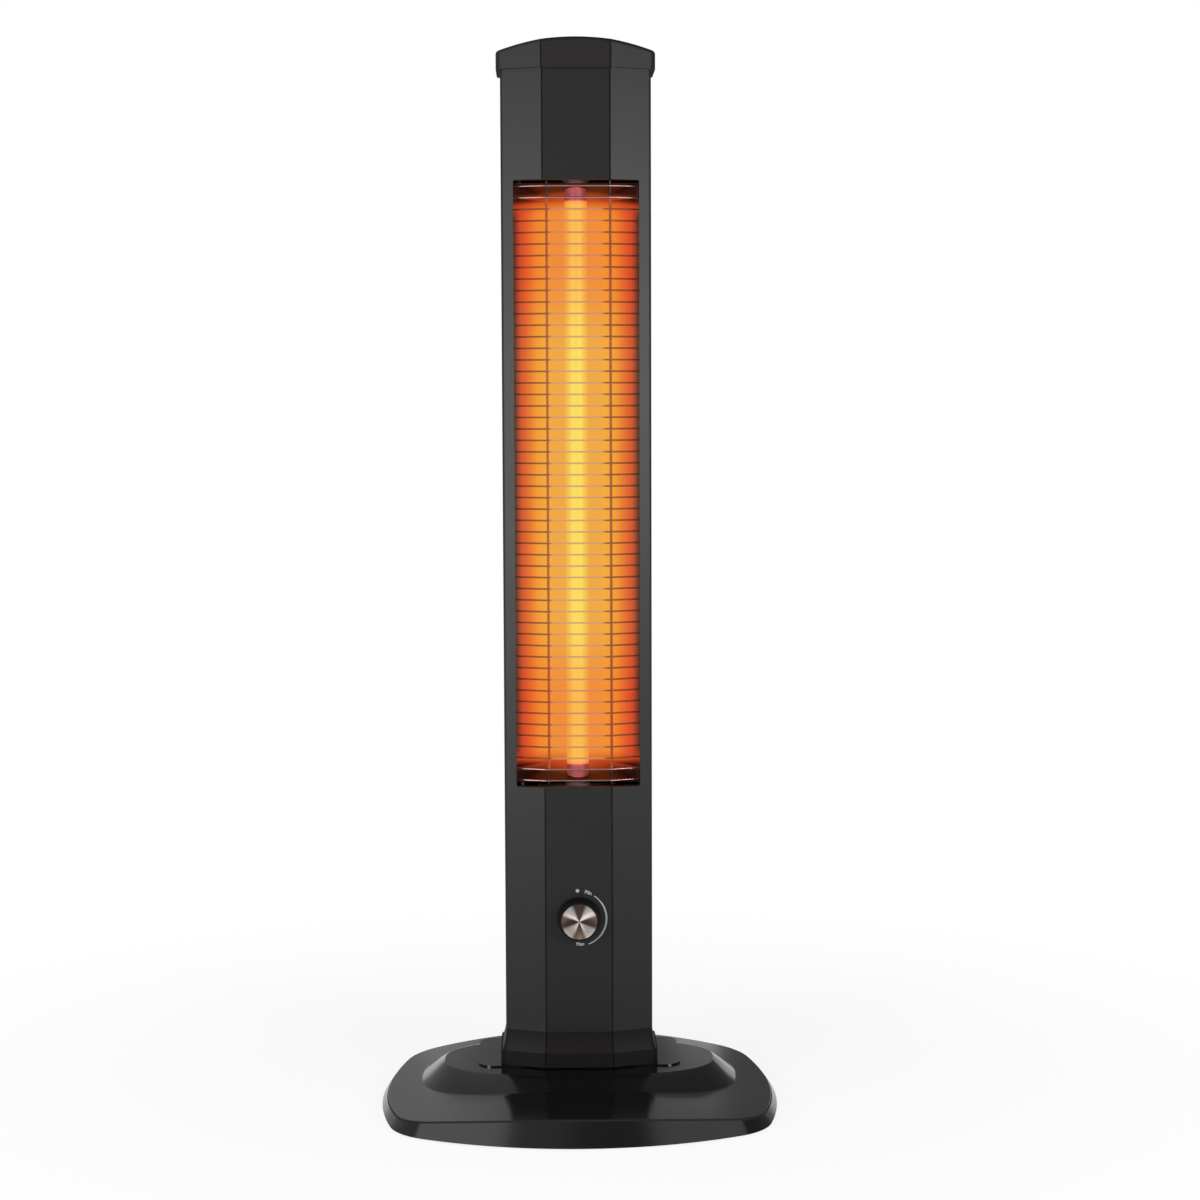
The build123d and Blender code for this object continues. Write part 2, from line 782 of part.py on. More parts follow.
def rear_cover():
    """Bent sheet back of the column that laps inside the front profile."""
    rear_half = Pos(0, seam_y + seam_gap + column_back_y) * Rectangle(
        4 * column_half_width, 2 * column_back_y)
    section = (column_face(0) - column_face(-rear_wall)) & rear_half
    lap_outer = inner_half_width - cap_clearance
    lap_front = seam_y - lap_length
    for side in (-1, 1):
        lap = (lap_outer - rear_wall / 2) * side
        step = (column_half_width + lap_outer - rear_wall) / 2 * side
        step_width = column_half_width - lap_outer + rear_wall
        back = seam_y + seam_gap + rear_wall
        section = section + Pos(lap, (lap_front + back) / 2) * Rectangle(
            rear_wall, back - lap_front)
        section = section + Pos(step, back - rear_wall / 2) * Rectangle(step_width, rear_wall)
    cover = prism(section, column_bottom, column_top)
    cuts = vent_slots(upper_vent_rows, upper_vent_bottom)
    cuts += vent_slots(lower_vent_rows, lower_vent_bottom)
    reach = column_back_y + over
    for x, z in rear_screw_places():
        cuts.append(pin(x, z, small_screw_radius + clearance_hole, column_back_y - hole_depth, reach))
    for side in (-1, 1):
        cuts.append(pin(side * cap_screw_x, column_top - cap_lap / 2,
                        small_screw_radius + fit_gap, column_back_y - hole_depth, reach))
    cuts.append(pin(0, bush_z, cord_bush_radius + fit_gap, column_back_y - hole_depth, reach))
    return cover - cuts


def rear_screw_places():
    offset_z = bulkhead_offset - bulkhead_flange / 2
    return [(sx * rear_screw_x, lamp_z + sz * offset_z) for sx in (-1, 1) for sz in (-1, 1)]


def rear_cover_screws():
    return [rear_screw(x, z, column_back_y, small_screw_radius, small_screw_length,
                       small_head_radius, small_head_height) for x, z in rear_screw_places()]


def top_cap():
    """Domed cap that laps over the column's top."""
    peak = cap_bottom + cap_height
    block_face = column_face(cap_grow)
    arch = Pos(0, 0, peak - cap_arch_radius) * Rot(90, 0, 0) * Cylinder(
        cap_arch_radius, 4 * column_back_y)
    cap = prism(block_face, cap_bottom, peak) & arch
    cap = fillet(cap.faces().sort_by(Axis.Z)[-1].edges(), cap_edge_radius)
    cap = cap - prism(facet_grooves(cap_grow), cap_bottom - over, peak)
    pocket = prism(column_face(cap_clearance), cap_bottom - over, column_top)
    under_arch = Pos(0, 0, peak - cap_arch_radius) * Rot(90, 0, 0) * Cylinder(
        cap_arch_radius - cap_wall, 4 * column_back_y)
    hollow = prism(column_face(-front_wall), column_top - over, peak) & under_arch
    holes = [pin(side * cap_screw_x, column_top - cap_lap / 2, small_screw_radius + clearance_hole,
                 column_back_y - over, column_back_y + cap_grow + over) for side in (-1, 1)]
    return cap - pocket - hollow - holes


def cap_screws():
    return [rear_screw(side * cap_screw_x, column_top - cap_lap / 2, column_back_y + cap_grow,
                       small_screw_radius, small_screw_length, small_head_radius,
                       small_head_height) for side in (-1, 1)]


def knob_body():
    """Hollow tapered knob with a hub on the shaft and a recess for its metal face."""
    height = knob_height
    outline = make_face(Polyline(
        (0, 0), (knob_radius, 0), (knob_front_radius, height), (0, height), close=True))
    body = revolve(Plane.XZ * outline, Axis.Z)
    rim = body.edges().filter_by(GeomType.CIRCLE).group_by(Axis.Z)[-1]
    body = fillet(rim, knob_edge_radius)
    inner = make_face(Polyline(
        (knob_hub_radius, -over), (knob_radius - knob_wall, -over),
        (knob_front_radius - knob_wall, height - knob_wall - face_thickness - face_recess),
        (knob_hub_radius, height - knob_wall - face_thickness - face_recess), close=True))
    body = body - revolve(Plane.XZ * inner, Axis.Z)
    nut_room = nut_thickness + washer_thickness + bush_length / 2
    body = body - Pos(0, 0, (nut_room - over) / 2) * Cylinder(
        bush_radius + knob_gap, nut_room + over)
    top = height - face_thickness - face_recess
    bore = Circle(shaft_radius + fit_gap) & (Pos(0, shaft_flat - shaft_radius + fit_gap)
                                            * Rectangle(4 * shaft_radius, 2 * shaft_radius))
    body = body - Pos(0, 0, -over) * extrude(bore, top)
    body = body - Pos(0, 0, top) * Cylinder(
        face_radius + fit_gap, height, align=(Align.CENTER, Align.CENTER, Align.MIN))
    return Pos(0, knob_back_y, knob_z) * Rot(90, 0, 0) * body


def knob_face():
    back = knob_front_y + face_recess
    return pin(0, knob_z, face_radius, back, back + face_thickness)


def regulator_shaft():
    front = knob_front_y + face_recess + face_thickness + over + fit_gap
    rear = inner_front_y + regulator_depth / 2
    shaft = pin(0, knob_z, shaft_radius, front, rear)
    flat_end = knob_back_y - nut_thickness - washer_thickness - bush_length / 2
    flat = block(-shaft_radius, shaft_radius, front - over, flat_end,
                 knob_z + shaft_flat, knob_z + 2 * shaft_radius)
    return shaft - flat


def regulator_body():
    """Power regulator behind the front wall, with its threaded bush through the wall."""
    back = inner_front_y + regulator_depth
    can = pin(0, knob_z, regulator_radius, inner_front_y, back)
    bush = pin(0, knob_z, bush_radius, column_front_y - bush_length + front_wall, inner_front_y + over)
    bore = pin(0, knob_z, shaft_radius + fit_gap, column_front_y - bush_length,
               inner_front_y + regulator_depth / 2 + fit_gap)
    return can + bush - bore


def regulator_nut():
    """Hexagon nut and washer on the bush, under the knob."""
    washer = pin(0, knob_z, washer_radius, column_front_y - washer_thickness, column_front_y)
    nut = front_view(Pos(0, knob_z) * RegularPolygon(nut_radius, 6),
                     column_front_y - washer_thickness - nut_thickness,
                     column_front_y - washer_thickness)
    bore = pin(0, knob_z, bush_radius + fit_gap, knob_front_y, column_front_y + over)
    return [washer - bore, nut - bore]


def control_bracket():
    back = port_rear_y + bracket_thickness
    return block(-bracket_half_width, bracket_half_width, port_rear_y, back,
                 bracket_bottom, bracket_top)


def board_places():
    x = board_half_width - board_hole_inset
    return [(sx * x, z) for sx in (-1, 1)
            for z in (board_bottom + board_hole_inset,
                      board_bottom + board_height - board_hole_inset)]


def board_standoffs():
    front = port_rear_y + bracket_thickness
    return [pin(x, z, standoff_radius, front, front + standoff_length) for x, z in board_places()]


def control_board():
    """Circuit board with its capacitor, choke and relay."""
    front = port_rear_y + bracket_thickness + standoff_length
    back = front + board_thickness
    board = block(-board_half_width, board_half_width, front, back,
                  board_bottom, board_bottom + board_height)
    low = board_bottom + board_margin
    high = board_bottom + board_height - board_margin
    capacitor = block(capacitor_x - capacitor_width / 2, capacitor_x + capacitor_width / 2,
                      back, back + capacitor_depth, low, low + capacitor_height)
    choke = pin(choke_x, low + choke_radius, choke_radius, back, back + choke_depth)
    relay = block(relay_x - relay_width / 2, relay_x + relay_width / 2,
                  back, back + relay_depth, high - relay_height, high)
    return board + capacitor + choke + relay


def heat_sink():
    """Finned heat sink of the power switch, seated on the board."""
    front = port_rear_y + bracket_thickness + standoff_length + board_thickness
    low = board_bottom + board_height / 2 - heat_sink_height / 2
    high = low + heat_sink_height
    half = heat_sink_width / 2
    fins = [block(-half, half, front, front + heat_sink_base, low, high)]
    for i in range(fin_count):
        x = -half + i * (heat_sink_width - fin_thickness) / (fin_count - 1)
        fins.append(block(x, x + fin_thickness, front, front + heat_sink_depth, low, high))
    return union(fins)


def terminal_block():
    front = port_rear_y + bracket_thickness
    half = terminal_width / 2
    body = block(-half, half, front, front + terminal_depth,
                 terminal_bottom, terminal_bottom + terminal_height)
    pitch = terminal_width / terminal_ways
    middle = terminal_bottom + terminal_height / 2
    wells = [pin(-half + (i + 0.5) * pitch, middle, pitch / 2 - terminal_wall,
                 front + terminal_depth / 2, front + terminal_depth + over)
             for i in range(terminal_ways)]
    return body - wells


def thermal_cutout():
    """Disc thermostat under the lower bulkhead."""
    top = lamp_z - bulkhead_offset - bulkhead_thickness
    disc = post(cutout_x, cutout_y, cutout_radius, top - cutout_height, top)
    tab_top = top - cutout_height
    tab = block(cutout_x - cutout_tab_width / 2, cutout_x + cutout_tab_width / 2,
                cutout_y - cutout_tab_depth / 2, cutout_y + cutout_tab_depth / 2,
                tab_top - cutout_tab, tab_top + over)
    return disc + tab


def lead(*points):
    """Insulated wire along straight runs with round bends."""
    path = FilletPolyline(*points, radius=lead_bend)
    start = Plane(origin=path @ 0, z_dir=path % 0)
    return sweep(start * Circle(lead_radius), path=path)


def neck_end(side):
    """Height of the free end of the upper (1) or lower (-1) ceramic neck."""
    reach = tube_length / 2 - end_cap_socket + end_cap_length + shoulder_height + neck_length
    return lamp_z + side * reach


def terminal_middle():
    y = port_rear_y + bracket_thickness + terminal_depth / 2
    return y, terminal_bottom + terminal_height / 2


def upper_lead():
    """Wire from the lamp's upper end, down behind the reflector to the terminals."""
    y, z = terminal_middle()
    start = neck_end(1)
    return lead((0, lamp_y, start), (0, lamp_y, start + lead_loop),
                (-lead_run_x, lead_run_y, start + lead_loop), (-lead_run_x, lead_run_y, z),
                (-lead_run_x, y, z), (-terminal_width / 2, y, z))


def cutout_tab_bottom():
    return lamp_z - bulkhead_offset - bulkhead_thickness - cutout_height - cutout_tab


def lower_lead():
    """Wire from the lamp's lower end to the thermal cut-out."""
    start = neck_end(-1)
    low = cutout_tab_bottom() - lead_loop
    return lead((0, lamp_y, start), (0, lamp_y, low), (cutout_x, cutout_y, low),
                (cutout_x, cutout_y, cutout_tab_bottom()))


def cutout_lead():
    """Wire from the thermal cut-out down to the terminals."""
    y, z = terminal_middle()
    start_z = cutout_tab_bottom() + cutout_tab / 2
    return lead((cutout_x + cutout_tab_width / 2, y, start_z), (lead_run_x + lead_bend, y, start_z),
                (lead_run_x + lead_bend, y, z), (terminal_width / 2, y, z))


def cord_bush():
    """Bush in the rear cover where the power cord would enter."""
    inner = column_back_y - rear_wall
    parts = [pin(0, bush_z, cord_bush_radius, inner - cord_nut_length, column_back_y + over),
             pin(0, bush_z, cord_flange_radius, column_back_y, column_back_y + cord_flange_length),
             pin(0, bush_z, cord_flange_radius - over, inner - cord_nut_length, inner)]
    bore = pin(0, bush_z, cord_radius, inner - cord_nut_length - over,
               column_back_y + cord_flange_length + over)
    return union(parts) - bore


def tip_switch_housing():
    """Moulded box on the base plate that guides the tip-over plunger."""
    half = plunger_flange_radius + tip_clearance + tip_wall
    roof = plate_top + tip_housing_height
    box = block(tip_x - half, tip_x + half, tip_y - half, tip_y + half, plate_top, roof)
    return box - post(tip_x, tip_y, plunger_flange_radius + tip_clearance,
                      plate_top - over, roof - tip_wall)


def plunger_flange_z():
    return plate_top + tip_travel + tip_clearance


def tip_plunger():
    flange = plunger_flange_z()
    stem = post(tip_x, tip_y, plunger_radius, tip_rest_height, flange + over)
    return stem + post(tip_x, tip_y, plunger_flange_radius, flange, flange + plunger_flange_height)


def tip_spring():
    low = plunger_flange_z() + plunger_flange_height + spring_gap + spring_wire / 2
    high = plate_top + tip_housing_height - tip_wall - spring_gap - spring_wire / 2
    path = Helix(pitch=(high - low) / spring_turns, height=high - low, radius=spring_radius)
    section = Plane(origin=path @ 0, z_dir=path % 0) * Rectangle(spring_wire, spring_wire)
    return Pos(tip_x, tip_y, low) * sweep(section, path=path, is_frenet=True)


def tip_microswitch():
    half = plunger_flange_radius + tip_clearance + tip_wall
    x = tip_x + half
    return block(x, x + switch_width, tip_y - switch_depth / 2, tip_y + switch_depth / 2,
                 plate_top, plate_top + switch_height)


def main():
    os.makedirs("parts", exist_ok=True)
    save("base_shell", base_shell())
    save("base_plate", base_plate())
    save("rubber_feet", *rubber_feet())
    save("base_plate_screws", *base_plate_screws())
    save("foot_collar", foot_collar())
    save("column_shoe", column_shoe())
    save("foot_frame", foot_frame())
    save("foot_bolts", *foot_bolts())
    save("column_screws", *column_screws())
    save("front_profile", front_profile())
    save("rear_cover", rear_cover())
    save("rear_cover_screws", *rear_cover_screws())
    save("top_cap", top_cap())
    save("cap_screws", *cap_screws())
    save("wire_guard", wire_guard())
    save("reflector", reflector())
    save("reflector_end_upper", reflector_end(1))
    save("reflector_end_lower", reflector_end(-1))
    save("upper_bulkhead", bulkhead(1))
    save("lower_bulkhead", bulkhead(-1))
    save("lamp_tube", lamp_tube())
    save("carbon_element", carbon_element())
    save("lamp_end_upper", lamp_end(1))
    save("lamp_end_lower", lamp_end(-1))
    save("lamp_clips", *lamp_clips())
    save("knob_body", knob_body())
    save("knob_face", knob_face())
    save("regulator_shaft", regulator_shaft())
    save("regulator_body", regulator_body())
    save("regulator_nut", *regulator_nut())
    save("control_bracket", control_bracket())
    save("board_standoffs", *board_standoffs())
    save("control_board", control_board())
    save("heat_sink", heat_sink())
    save("terminal_block", terminal_block())
    save("thermal_cutout", thermal_cutout())
    save("upper_lead", upper_lead())
    save("lower_lead", lower_lead())
    save("cutout_lead", cutout_lead())
    save("cord_bush", cord_bush())
    save("tip_switch_housing", tip_switch_housing())
    save("tip_microswitch", tip_microswitch())
    save("tip_plunger", tip_plunger())
    save("tip_spring", tip_spring())


main()
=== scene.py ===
# %% [markdown]
# # A tower heater with one glowing carbon lamp
#
# The heater is a slim column of dark, powder-coated aluminium on a broad moulded base. A tall
# window with a wire guard shows a glowing lamp in front of a polished reflector. The solid
# model comes first and is never changed here. This script gives it finishes, replaces what
# needs finer shapes, and sets up the camera and the light.

# %% Load the solid model
from math import cos, pi, radians, sin

import bpy
from mathutils import Matrix, Vector


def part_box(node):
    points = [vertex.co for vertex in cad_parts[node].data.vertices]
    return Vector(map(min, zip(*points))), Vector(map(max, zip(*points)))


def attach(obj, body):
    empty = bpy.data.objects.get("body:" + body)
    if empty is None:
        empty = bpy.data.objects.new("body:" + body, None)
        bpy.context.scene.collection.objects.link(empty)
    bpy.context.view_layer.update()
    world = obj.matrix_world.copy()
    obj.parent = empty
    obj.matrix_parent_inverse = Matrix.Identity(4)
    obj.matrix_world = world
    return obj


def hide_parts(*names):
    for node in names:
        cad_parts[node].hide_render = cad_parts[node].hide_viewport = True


MM = 0.001
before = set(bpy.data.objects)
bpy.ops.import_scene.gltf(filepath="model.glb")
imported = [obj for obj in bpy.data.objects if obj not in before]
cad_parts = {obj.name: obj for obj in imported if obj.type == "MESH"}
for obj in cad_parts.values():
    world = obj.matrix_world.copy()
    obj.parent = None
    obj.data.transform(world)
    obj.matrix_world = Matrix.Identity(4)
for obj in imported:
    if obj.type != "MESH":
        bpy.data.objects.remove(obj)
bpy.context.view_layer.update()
bpy.context.scene.view_settings.view_transform = "Standard"

# %% [markdown]
# ## The camera
#
# The picture was taken from about two metres with a fairly long lens, a little above the
# middle of the heater and looking slightly down. A perspective camera has a place, three
# turns and a focal length. Writing the view's three axes as the columns of a matrix keeps
# the small turn to the right, the tilt and the roll in plain sight.

# %% Camera
camera_place = Vector((-26.8, -2012.0, 583.5)) * MM
camera_yaw = radians(1.278)
camera_tilt = radians(4.944)
camera_roll = radians(-0.19)
focal_length = 75.0
sensor_width = 36.0

forward = Vector((sin(camera_yaw) * cos(camera_tilt), cos(camera_yaw) * cos(camera_tilt),
                  -sin(camera_tilt)))
level_right = Vector((cos(camera_yaw), -sin(camera_yaw), 0.0))
level_up = level_right.cross(forward)
right = level_right * cos(camera_roll) + level_up * sin(camera_roll)
up = level_up * cos(camera_roll) - level_right * sin(camera_roll)

camera_data = bpy.data.cameras.new("camera")
camera_data.lens = focal_length
camera_data.sensor_width = sensor_width
camera = bpy.data.objects.new("camera", camera_data)
turn = Matrix((right, up, -forward)).transposed().to_4x4()
camera.matrix_world = Matrix.Translation(camera_place) @ turn
bpy.context.collection.objects.link(camera)
bpy.context.scene.camera = camera
print("camera at", [round(v, 3) for v in camera_place])

# %% [markdown]
# ## Helpers for node trees
#
# Every finish below is a node tree, and so are the shapes that repeat. One function turns the
# hex colours that designers write into the linear numbers that the renderer needs. A second
# one adds a node, sets it up and feeds its inputs, for materials, the world and geometry.

# %% Helpers for colours and nodes
def linear(code):
    """sRGB hex colour, such as 2b2b2d, as a linear colour."""
    levels = [int(code[i:i + 2], 16) / 255 for i in (0, 2, 4)]
    return [v / 12.92 if v <= 0.04045 else ((v + 0.055) / 1.055) ** 2.4 for v in levels] + [1.0]


def add(tree, kind, inputs=None, **settings):
    """One new node. An input is given a plain value or the output socket that feeds it."""
    node = tree.nodes.new(kind)
    for name, value in settings.items():
        setattr(node, name, value)
    for name, value in (inputs or {}).items():
        if isinstance(value, bpy.types.NodeSocket):
            tree.links.new(value, node.inputs[name])
        else:
            node.inputs[name].default_value = value
    return node


def new_material(name):
    """Empty material, its tree and its output node."""
    material = bpy.data.materials.new(name)
    material.use_nodes = True
    material.node_tree.nodes.clear()
    output = add(material.node_tree, "ShaderNodeOutputMaterial")
    return material, material.node_tree, output


print("mid grey is", round(linear("808080")[0], 3), "in linear light")

# %% [markdown]
# ## A pale studio
#
# The heater stands in plain soft light. Two upright soft boxes stand to the left and right of
# the camera, where the column's slanted sides mirror them. Two large, dim ones hang higher at
# the sides, a small one hangs over the camera, and two narrow ones behind draw the bright
# streaks on the base. More light could make the background white, but it would bleach the
# heater too. So the floor and the world only look white: to the eye everywhere, and to shiny
# faces in the floor and in a band behind the heater, up to just above the horizon. The light
# that falls on the heater stays at a plain level.

# %% Floor
floor_size = 40.0
floor_z = -0.05 * MM
contact_white = 0.85
white_starts = 0.15
white_full = 0.8

floor_mesh = bpy.data.meshes.new("floor")
half = floor_size / 2
corners = [(i * half, j * half, floor_z) for i, j in ((-1, -1), (1, -1), (1, 1), (-1, 1))]
floor_mesh.from_pydata(corners, [], [(0, 1, 2, 3)])
floor = bpy.data.objects.new("floor", floor_mesh)
bpy.context.collection.objects.link(floor)

floor_paint, tree, output = new_material("white_studio_floor")
place = add(tree, "ShaderNodeTexCoord").outputs["Object"]
distance = add(tree, "ShaderNodeVectorMath", {0: place}, operation="LENGTH").outputs["Value"]
away = add(tree, "ShaderNodeMapRange", {"Value": distance, "From Min": white_starts,
                                        "From Max": white_full, "To Min": contact_white},
           interpolation_type="SMOOTHSTEP")
ray = add(tree, "ShaderNodeLightPath")
seen = add(tree, "ShaderNodeMath", {0: ray.outputs["Is Camera Ray"],
                                    1: ray.outputs["Is Glossy Ray"]}, operation="MAXIMUM")
seen = add(tree, "ShaderNodeMath", {0: seen.outputs[0],
                                    1: ray.outputs["Is Transmission Ray"]}, operation="MAXIMUM")
glow = add(tree, "ShaderNodeMath", {0: seen.outputs[0], 1: away.outputs["Result"]},
           operation="MULTIPLY")
paint = add(tree, "ShaderNodeBsdfDiffuse", {"Color": linear("f4f4f4")})
white = add(tree, "ShaderNodeEmission", {"Color": linear("ffffff"), "Strength": 1.0})
mix = add(tree, "ShaderNodeMixShader", {0: glow.outputs[0], 1: paint.outputs[0],
                                        2: white.outputs[0]})
tree.links.new(mix.outputs[0], output.inputs["Surface"])
floor_mesh.materials.append(floor_paint)
print("floor", floor_size, "m wide")

# %% World
room_left, room_right = 0.42, 0.15
# A direction is an arrow of length 1, and these are bounds for its X, Z and Y.
left_ends, right_starts = -0.12, 0.02
white_horizon, horizon_blend = 0.06, 0.10
behind_starts, behind_full = 0.85, 0.97

world = bpy.data.worlds.new("studio")
bpy.context.scene.world = world
world.use_nodes = True
tree = world.node_tree
tree.nodes.clear()
direction = add(tree, "ShaderNodeTexCoord").outputs["Generated"]
axes = add(tree, "ShaderNodeSeparateXYZ", {0: direction}).outputs
room = add(tree, "ShaderNodeMapRange", {"Value": axes["X"], "From Min": left_ends,
                                        "From Max": right_starts, "To Min": room_left,
                                        "To Max": room_right})
low = add(tree, "ShaderNodeMapRange", {"Value": axes["Z"],
                                       "From Min": white_horizon + horizon_blend,
                                       "From Max": white_horizon},
          interpolation_type="SMOOTHSTEP")
behind = add(tree, "ShaderNodeMapRange", {"Value": axes["Y"], "From Min": behind_starts,
                                          "From Max": behind_full},
             interpolation_type="SMOOTHSTEP")
backdrop = add(tree, "ShaderNodeMath", {0: low.outputs["Result"], 1: behind.outputs["Result"]},
               operation="MULTIPLY")
ray = add(tree, "ShaderNodeLightPath")
shiny = add(tree, "ShaderNodeMath", {0: ray.outputs["Is Glossy Ray"],
                                     1: ray.outputs["Is Transmission Ray"]}, operation="MAXIMUM")
shiny_low = add(tree, "ShaderNodeMath", {0: shiny.outputs[0], 1: backdrop.outputs[0]},
                operation="MULTIPLY")
seen = add(tree, "ShaderNodeMath", {0: ray.outputs["Is Camera Ray"], 1: shiny_low.outputs[0]},
           operation="MAXIMUM")
strength = add(tree, "ShaderNodeMapRange", {"Value": seen.outputs[0],
                                            "To Min": room.outputs["Result"], "To Max": 1.0})
background = add(tree, "ShaderNodeBackground", {"Color": linear("ffffff"),
                                                "Strength": strength.outputs["Result"]})
add(tree, "ShaderNodeOutputWorld", {"Surface": background.outputs[0]})
print("room light", room_left, "to", room_right)

# %% Soft boxes
def soft_box(name, place, target, width, height, power):
    """Rectangular lamp that faces a point. It is seen in reflections but not by the camera."""
    lamp = bpy.data.lights.new(name, "AREA")
    lamp.shape = "RECTANGLE"
    lamp.size = width
    lamp.size_y = height
    lamp.energy = power
    holder = bpy.data.objects.new(name, lamp)
    aim = (Vector(target) - Vector(place)).to_track_quat("-Z", "Y")
    holder.matrix_world = Matrix.Translation(place) @ aim.to_matrix().to_4x4()
    holder.visible_camera = False
    bpy.context.collection.objects.link(holder)


soft_box("upright_box_left", (-1.04, -1.21, 0.54), (0, 0, 0.54), 0.6, 0.54, 15)
soft_box("upright_box_right", (1.04, -1.21, 0.62), (0, 0, 0.62), 0.6, 0.46, 14.5)
soft_box("high_box_left", (-1.5, -0.87, 1.95), (0, 0, 0.2), 1.5, 1.5, 9)
soft_box("high_box_right", (1.5, -0.87, 1.95), (0, 0, 0.2), 1.5, 1.5, 6)
soft_box("front_box", (0, -1.6, 1.5), (0, 0, 0.8), 0.5, 0.3, 1.6)
soft_box("rear_box_left", (-0.27, 2.2, 0.34), (-0.27, 0, 0.34), 0.2, 0.34, 0.145)
soft_box("rear_box_right", (0.29, 2.2, 0.35), (0.29, 0, 0.35), 0.2, 0.36, 0.35)

# %% [markdown]
# ## Paints, plastics and ceramics
#
# Each finish starts from what the real one is. A fine grain in the bump breaks up the
# highlights, and slow clouds of colour and shine keep large faces from looking flat. The
# patterns read object coordinates in metres, so the scale of a pattern is one over its grain
# size. Grain of a tenth of a millimetre can't show at this distance, so it is drawn at about
# one millimetre.

# %% Clouds and grain
cloud_size = 110 * MM


def clouded(tree, place, size, dark, light):
    """Slow clouds of a size. Gives the socket of the clouds and that of the colour they mix."""
    cloud = add(tree, "ShaderNodeTexNoise", {"Vector": place, "Scale": 1 / size, "Detail": 3.0})
    tone = add(tree, "ShaderNodeMix", {"Factor": cloud.outputs["Fac"], "A": linear(dark),
                                       "B": linear(light)}, data_type="RGBA")
    return cloud.outputs["Fac"], tone.outputs[2]


def grained(name, dark, light, roughness, grain, depth, gloss=0.5, swing=0.04):
    """Opaque skin: fine grain in the bump, slow clouds in the colour and the shine."""
    material, tree, output = new_material(name)
    place = add(tree, "ShaderNodeTexCoord").outputs["Object"]
    fine = add(tree, "ShaderNodeTexNoise", {"Vector": place, "Scale": 1 / grain, "Detail": 2.0})
    cloud, tone = clouded(tree, place, cloud_size, dark, light)
    bump = add(tree, "ShaderNodeBump", {"Height": fine.outputs["Fac"], "Strength": 1.0,
                                        "Distance": depth})
    shine = add(tree, "ShaderNodeMapRange", {"Value": cloud, "To Min": roughness - swing,
                                             "To Max": roughness + swing})
    skin = add(tree, "ShaderNodeBsdfPrincipled", {"Base Color": tone,
                                                  "Roughness": shine.outputs["Result"],
                                                  "Specular IOR Level": gloss,
                                                  "Normal": bump.outputs["Normal"]})
    tree.links.new(skin.outputs[0], output.inputs["Surface"])
    return material


def roughen(material, where):
    """Takes the shine from a finish where the given socket is 1."""
    tree = material.node_tree
    roughness = tree.nodes["Principled BSDF"].inputs["Roughness"]
    rough = add(tree, "ShaderNodeMath", {0: where, 1: roughness.links[0].from_socket},
                operation="MAXIMUM")
    tree.links.new(rough.outputs[0], roughness)


print("clouds", round(cloud_size / MM), "mm wide")

# %% Paint and moulded plastics
# Polyester powder, sprayed and baked: a matt dark grey with a faint orange peel.
powder_coat = grained("matt_powder_coat", "121111", "161515", 0.42, 1.6 * MM, 0.02 * MM, 0.26)
# ABS from a fine spark-eroded mould: black with an eggshell sheen.
matt_abs = grained("eroded_black_abs", "120f0e", "161312", 0.44, 1.2 * MM, 0.02 * MM, 0.26)
# The same ABS with a coarser grain, so duller, and a shade darker in colour as painted shade low
# under the column: the collar and the shoe.
dull_abs = grained("coarse_black_abs", "0f0d0c", "13100f", 0.55, 1.4 * MM, 0.03 * MM, 0.12)
# ABS from a polished mould: black, and shiny enough to mirror the column.
gloss_abs = grained("polished_black_abs", "0a0a0b", "0e0e0f", 0.15, 1.2 * MM, 0.002 * MM)
# Soft paint on the knob: the darkest and least shiny skin of all.
knob_paint = grained("soft_black_knob_paint", "080808", "0c0c0c", 0.6, 1.0 * MM, 0.01 * MM, 0.15)
# Nitrile rubber: dull, almost without shine.
foot_rubber = grained("black_nitrile_rubber", "121212", "1a1a1a", 0.75, 1.0 * MM, 0.04 * MM)
# Nylon in its natural colour: pale and a little waxy.
pale_nylon = grained("natural_nylon", "b9b5a8", "c4c0b4", 0.45, 1.0 * MM, 0.01 * MM)
# Solder mask over glass cloth: green, and smooth as lacquer.
solder_mask = grained("green_solder_mask", "1b4a2c", "235936", 0.35, 1.0 * MM, 0.01 * MM)
# Steatite, pressed and fired without a glaze: dry. Its dark grey-brown colour is painted shade
# for the dim ends of the window, where the lamp's ends sit.
steatite = grained("steatite_in_painted_shade", "5a4e48", "6a5d55", 0.7, 0.8 * MM, 0.02 * MM)
# Glass-fibre braid soaked in silicone: off-white and ribbed by the weave.
glass_sleeve = grained("glass_fibre_sleeve", "c9c3b4", "d8d3c6", 0.6, 0.8 * MM, 0.05 * MM)
print("materials:", len(bpy.data.materials))

# %% Where the mould was left rough
# Faces that look down, such as the cap's overhang, come from rough parts of the mould, so
# they hardly mirror a bright floor.
looks_down = -0.5
tree = matt_abs.node_tree
normal = add(tree, "ShaderNodeTexCoord").outputs["Normal"]
downwards = add(tree, "ShaderNodeSeparateXYZ", {0: normal}).outputs["Z"]
downwards = add(tree, "ShaderNodeMath", {0: downwards, 1: looks_down}, operation="LESS_THAN")
roughen(matt_abs, downwards.outputs[0])
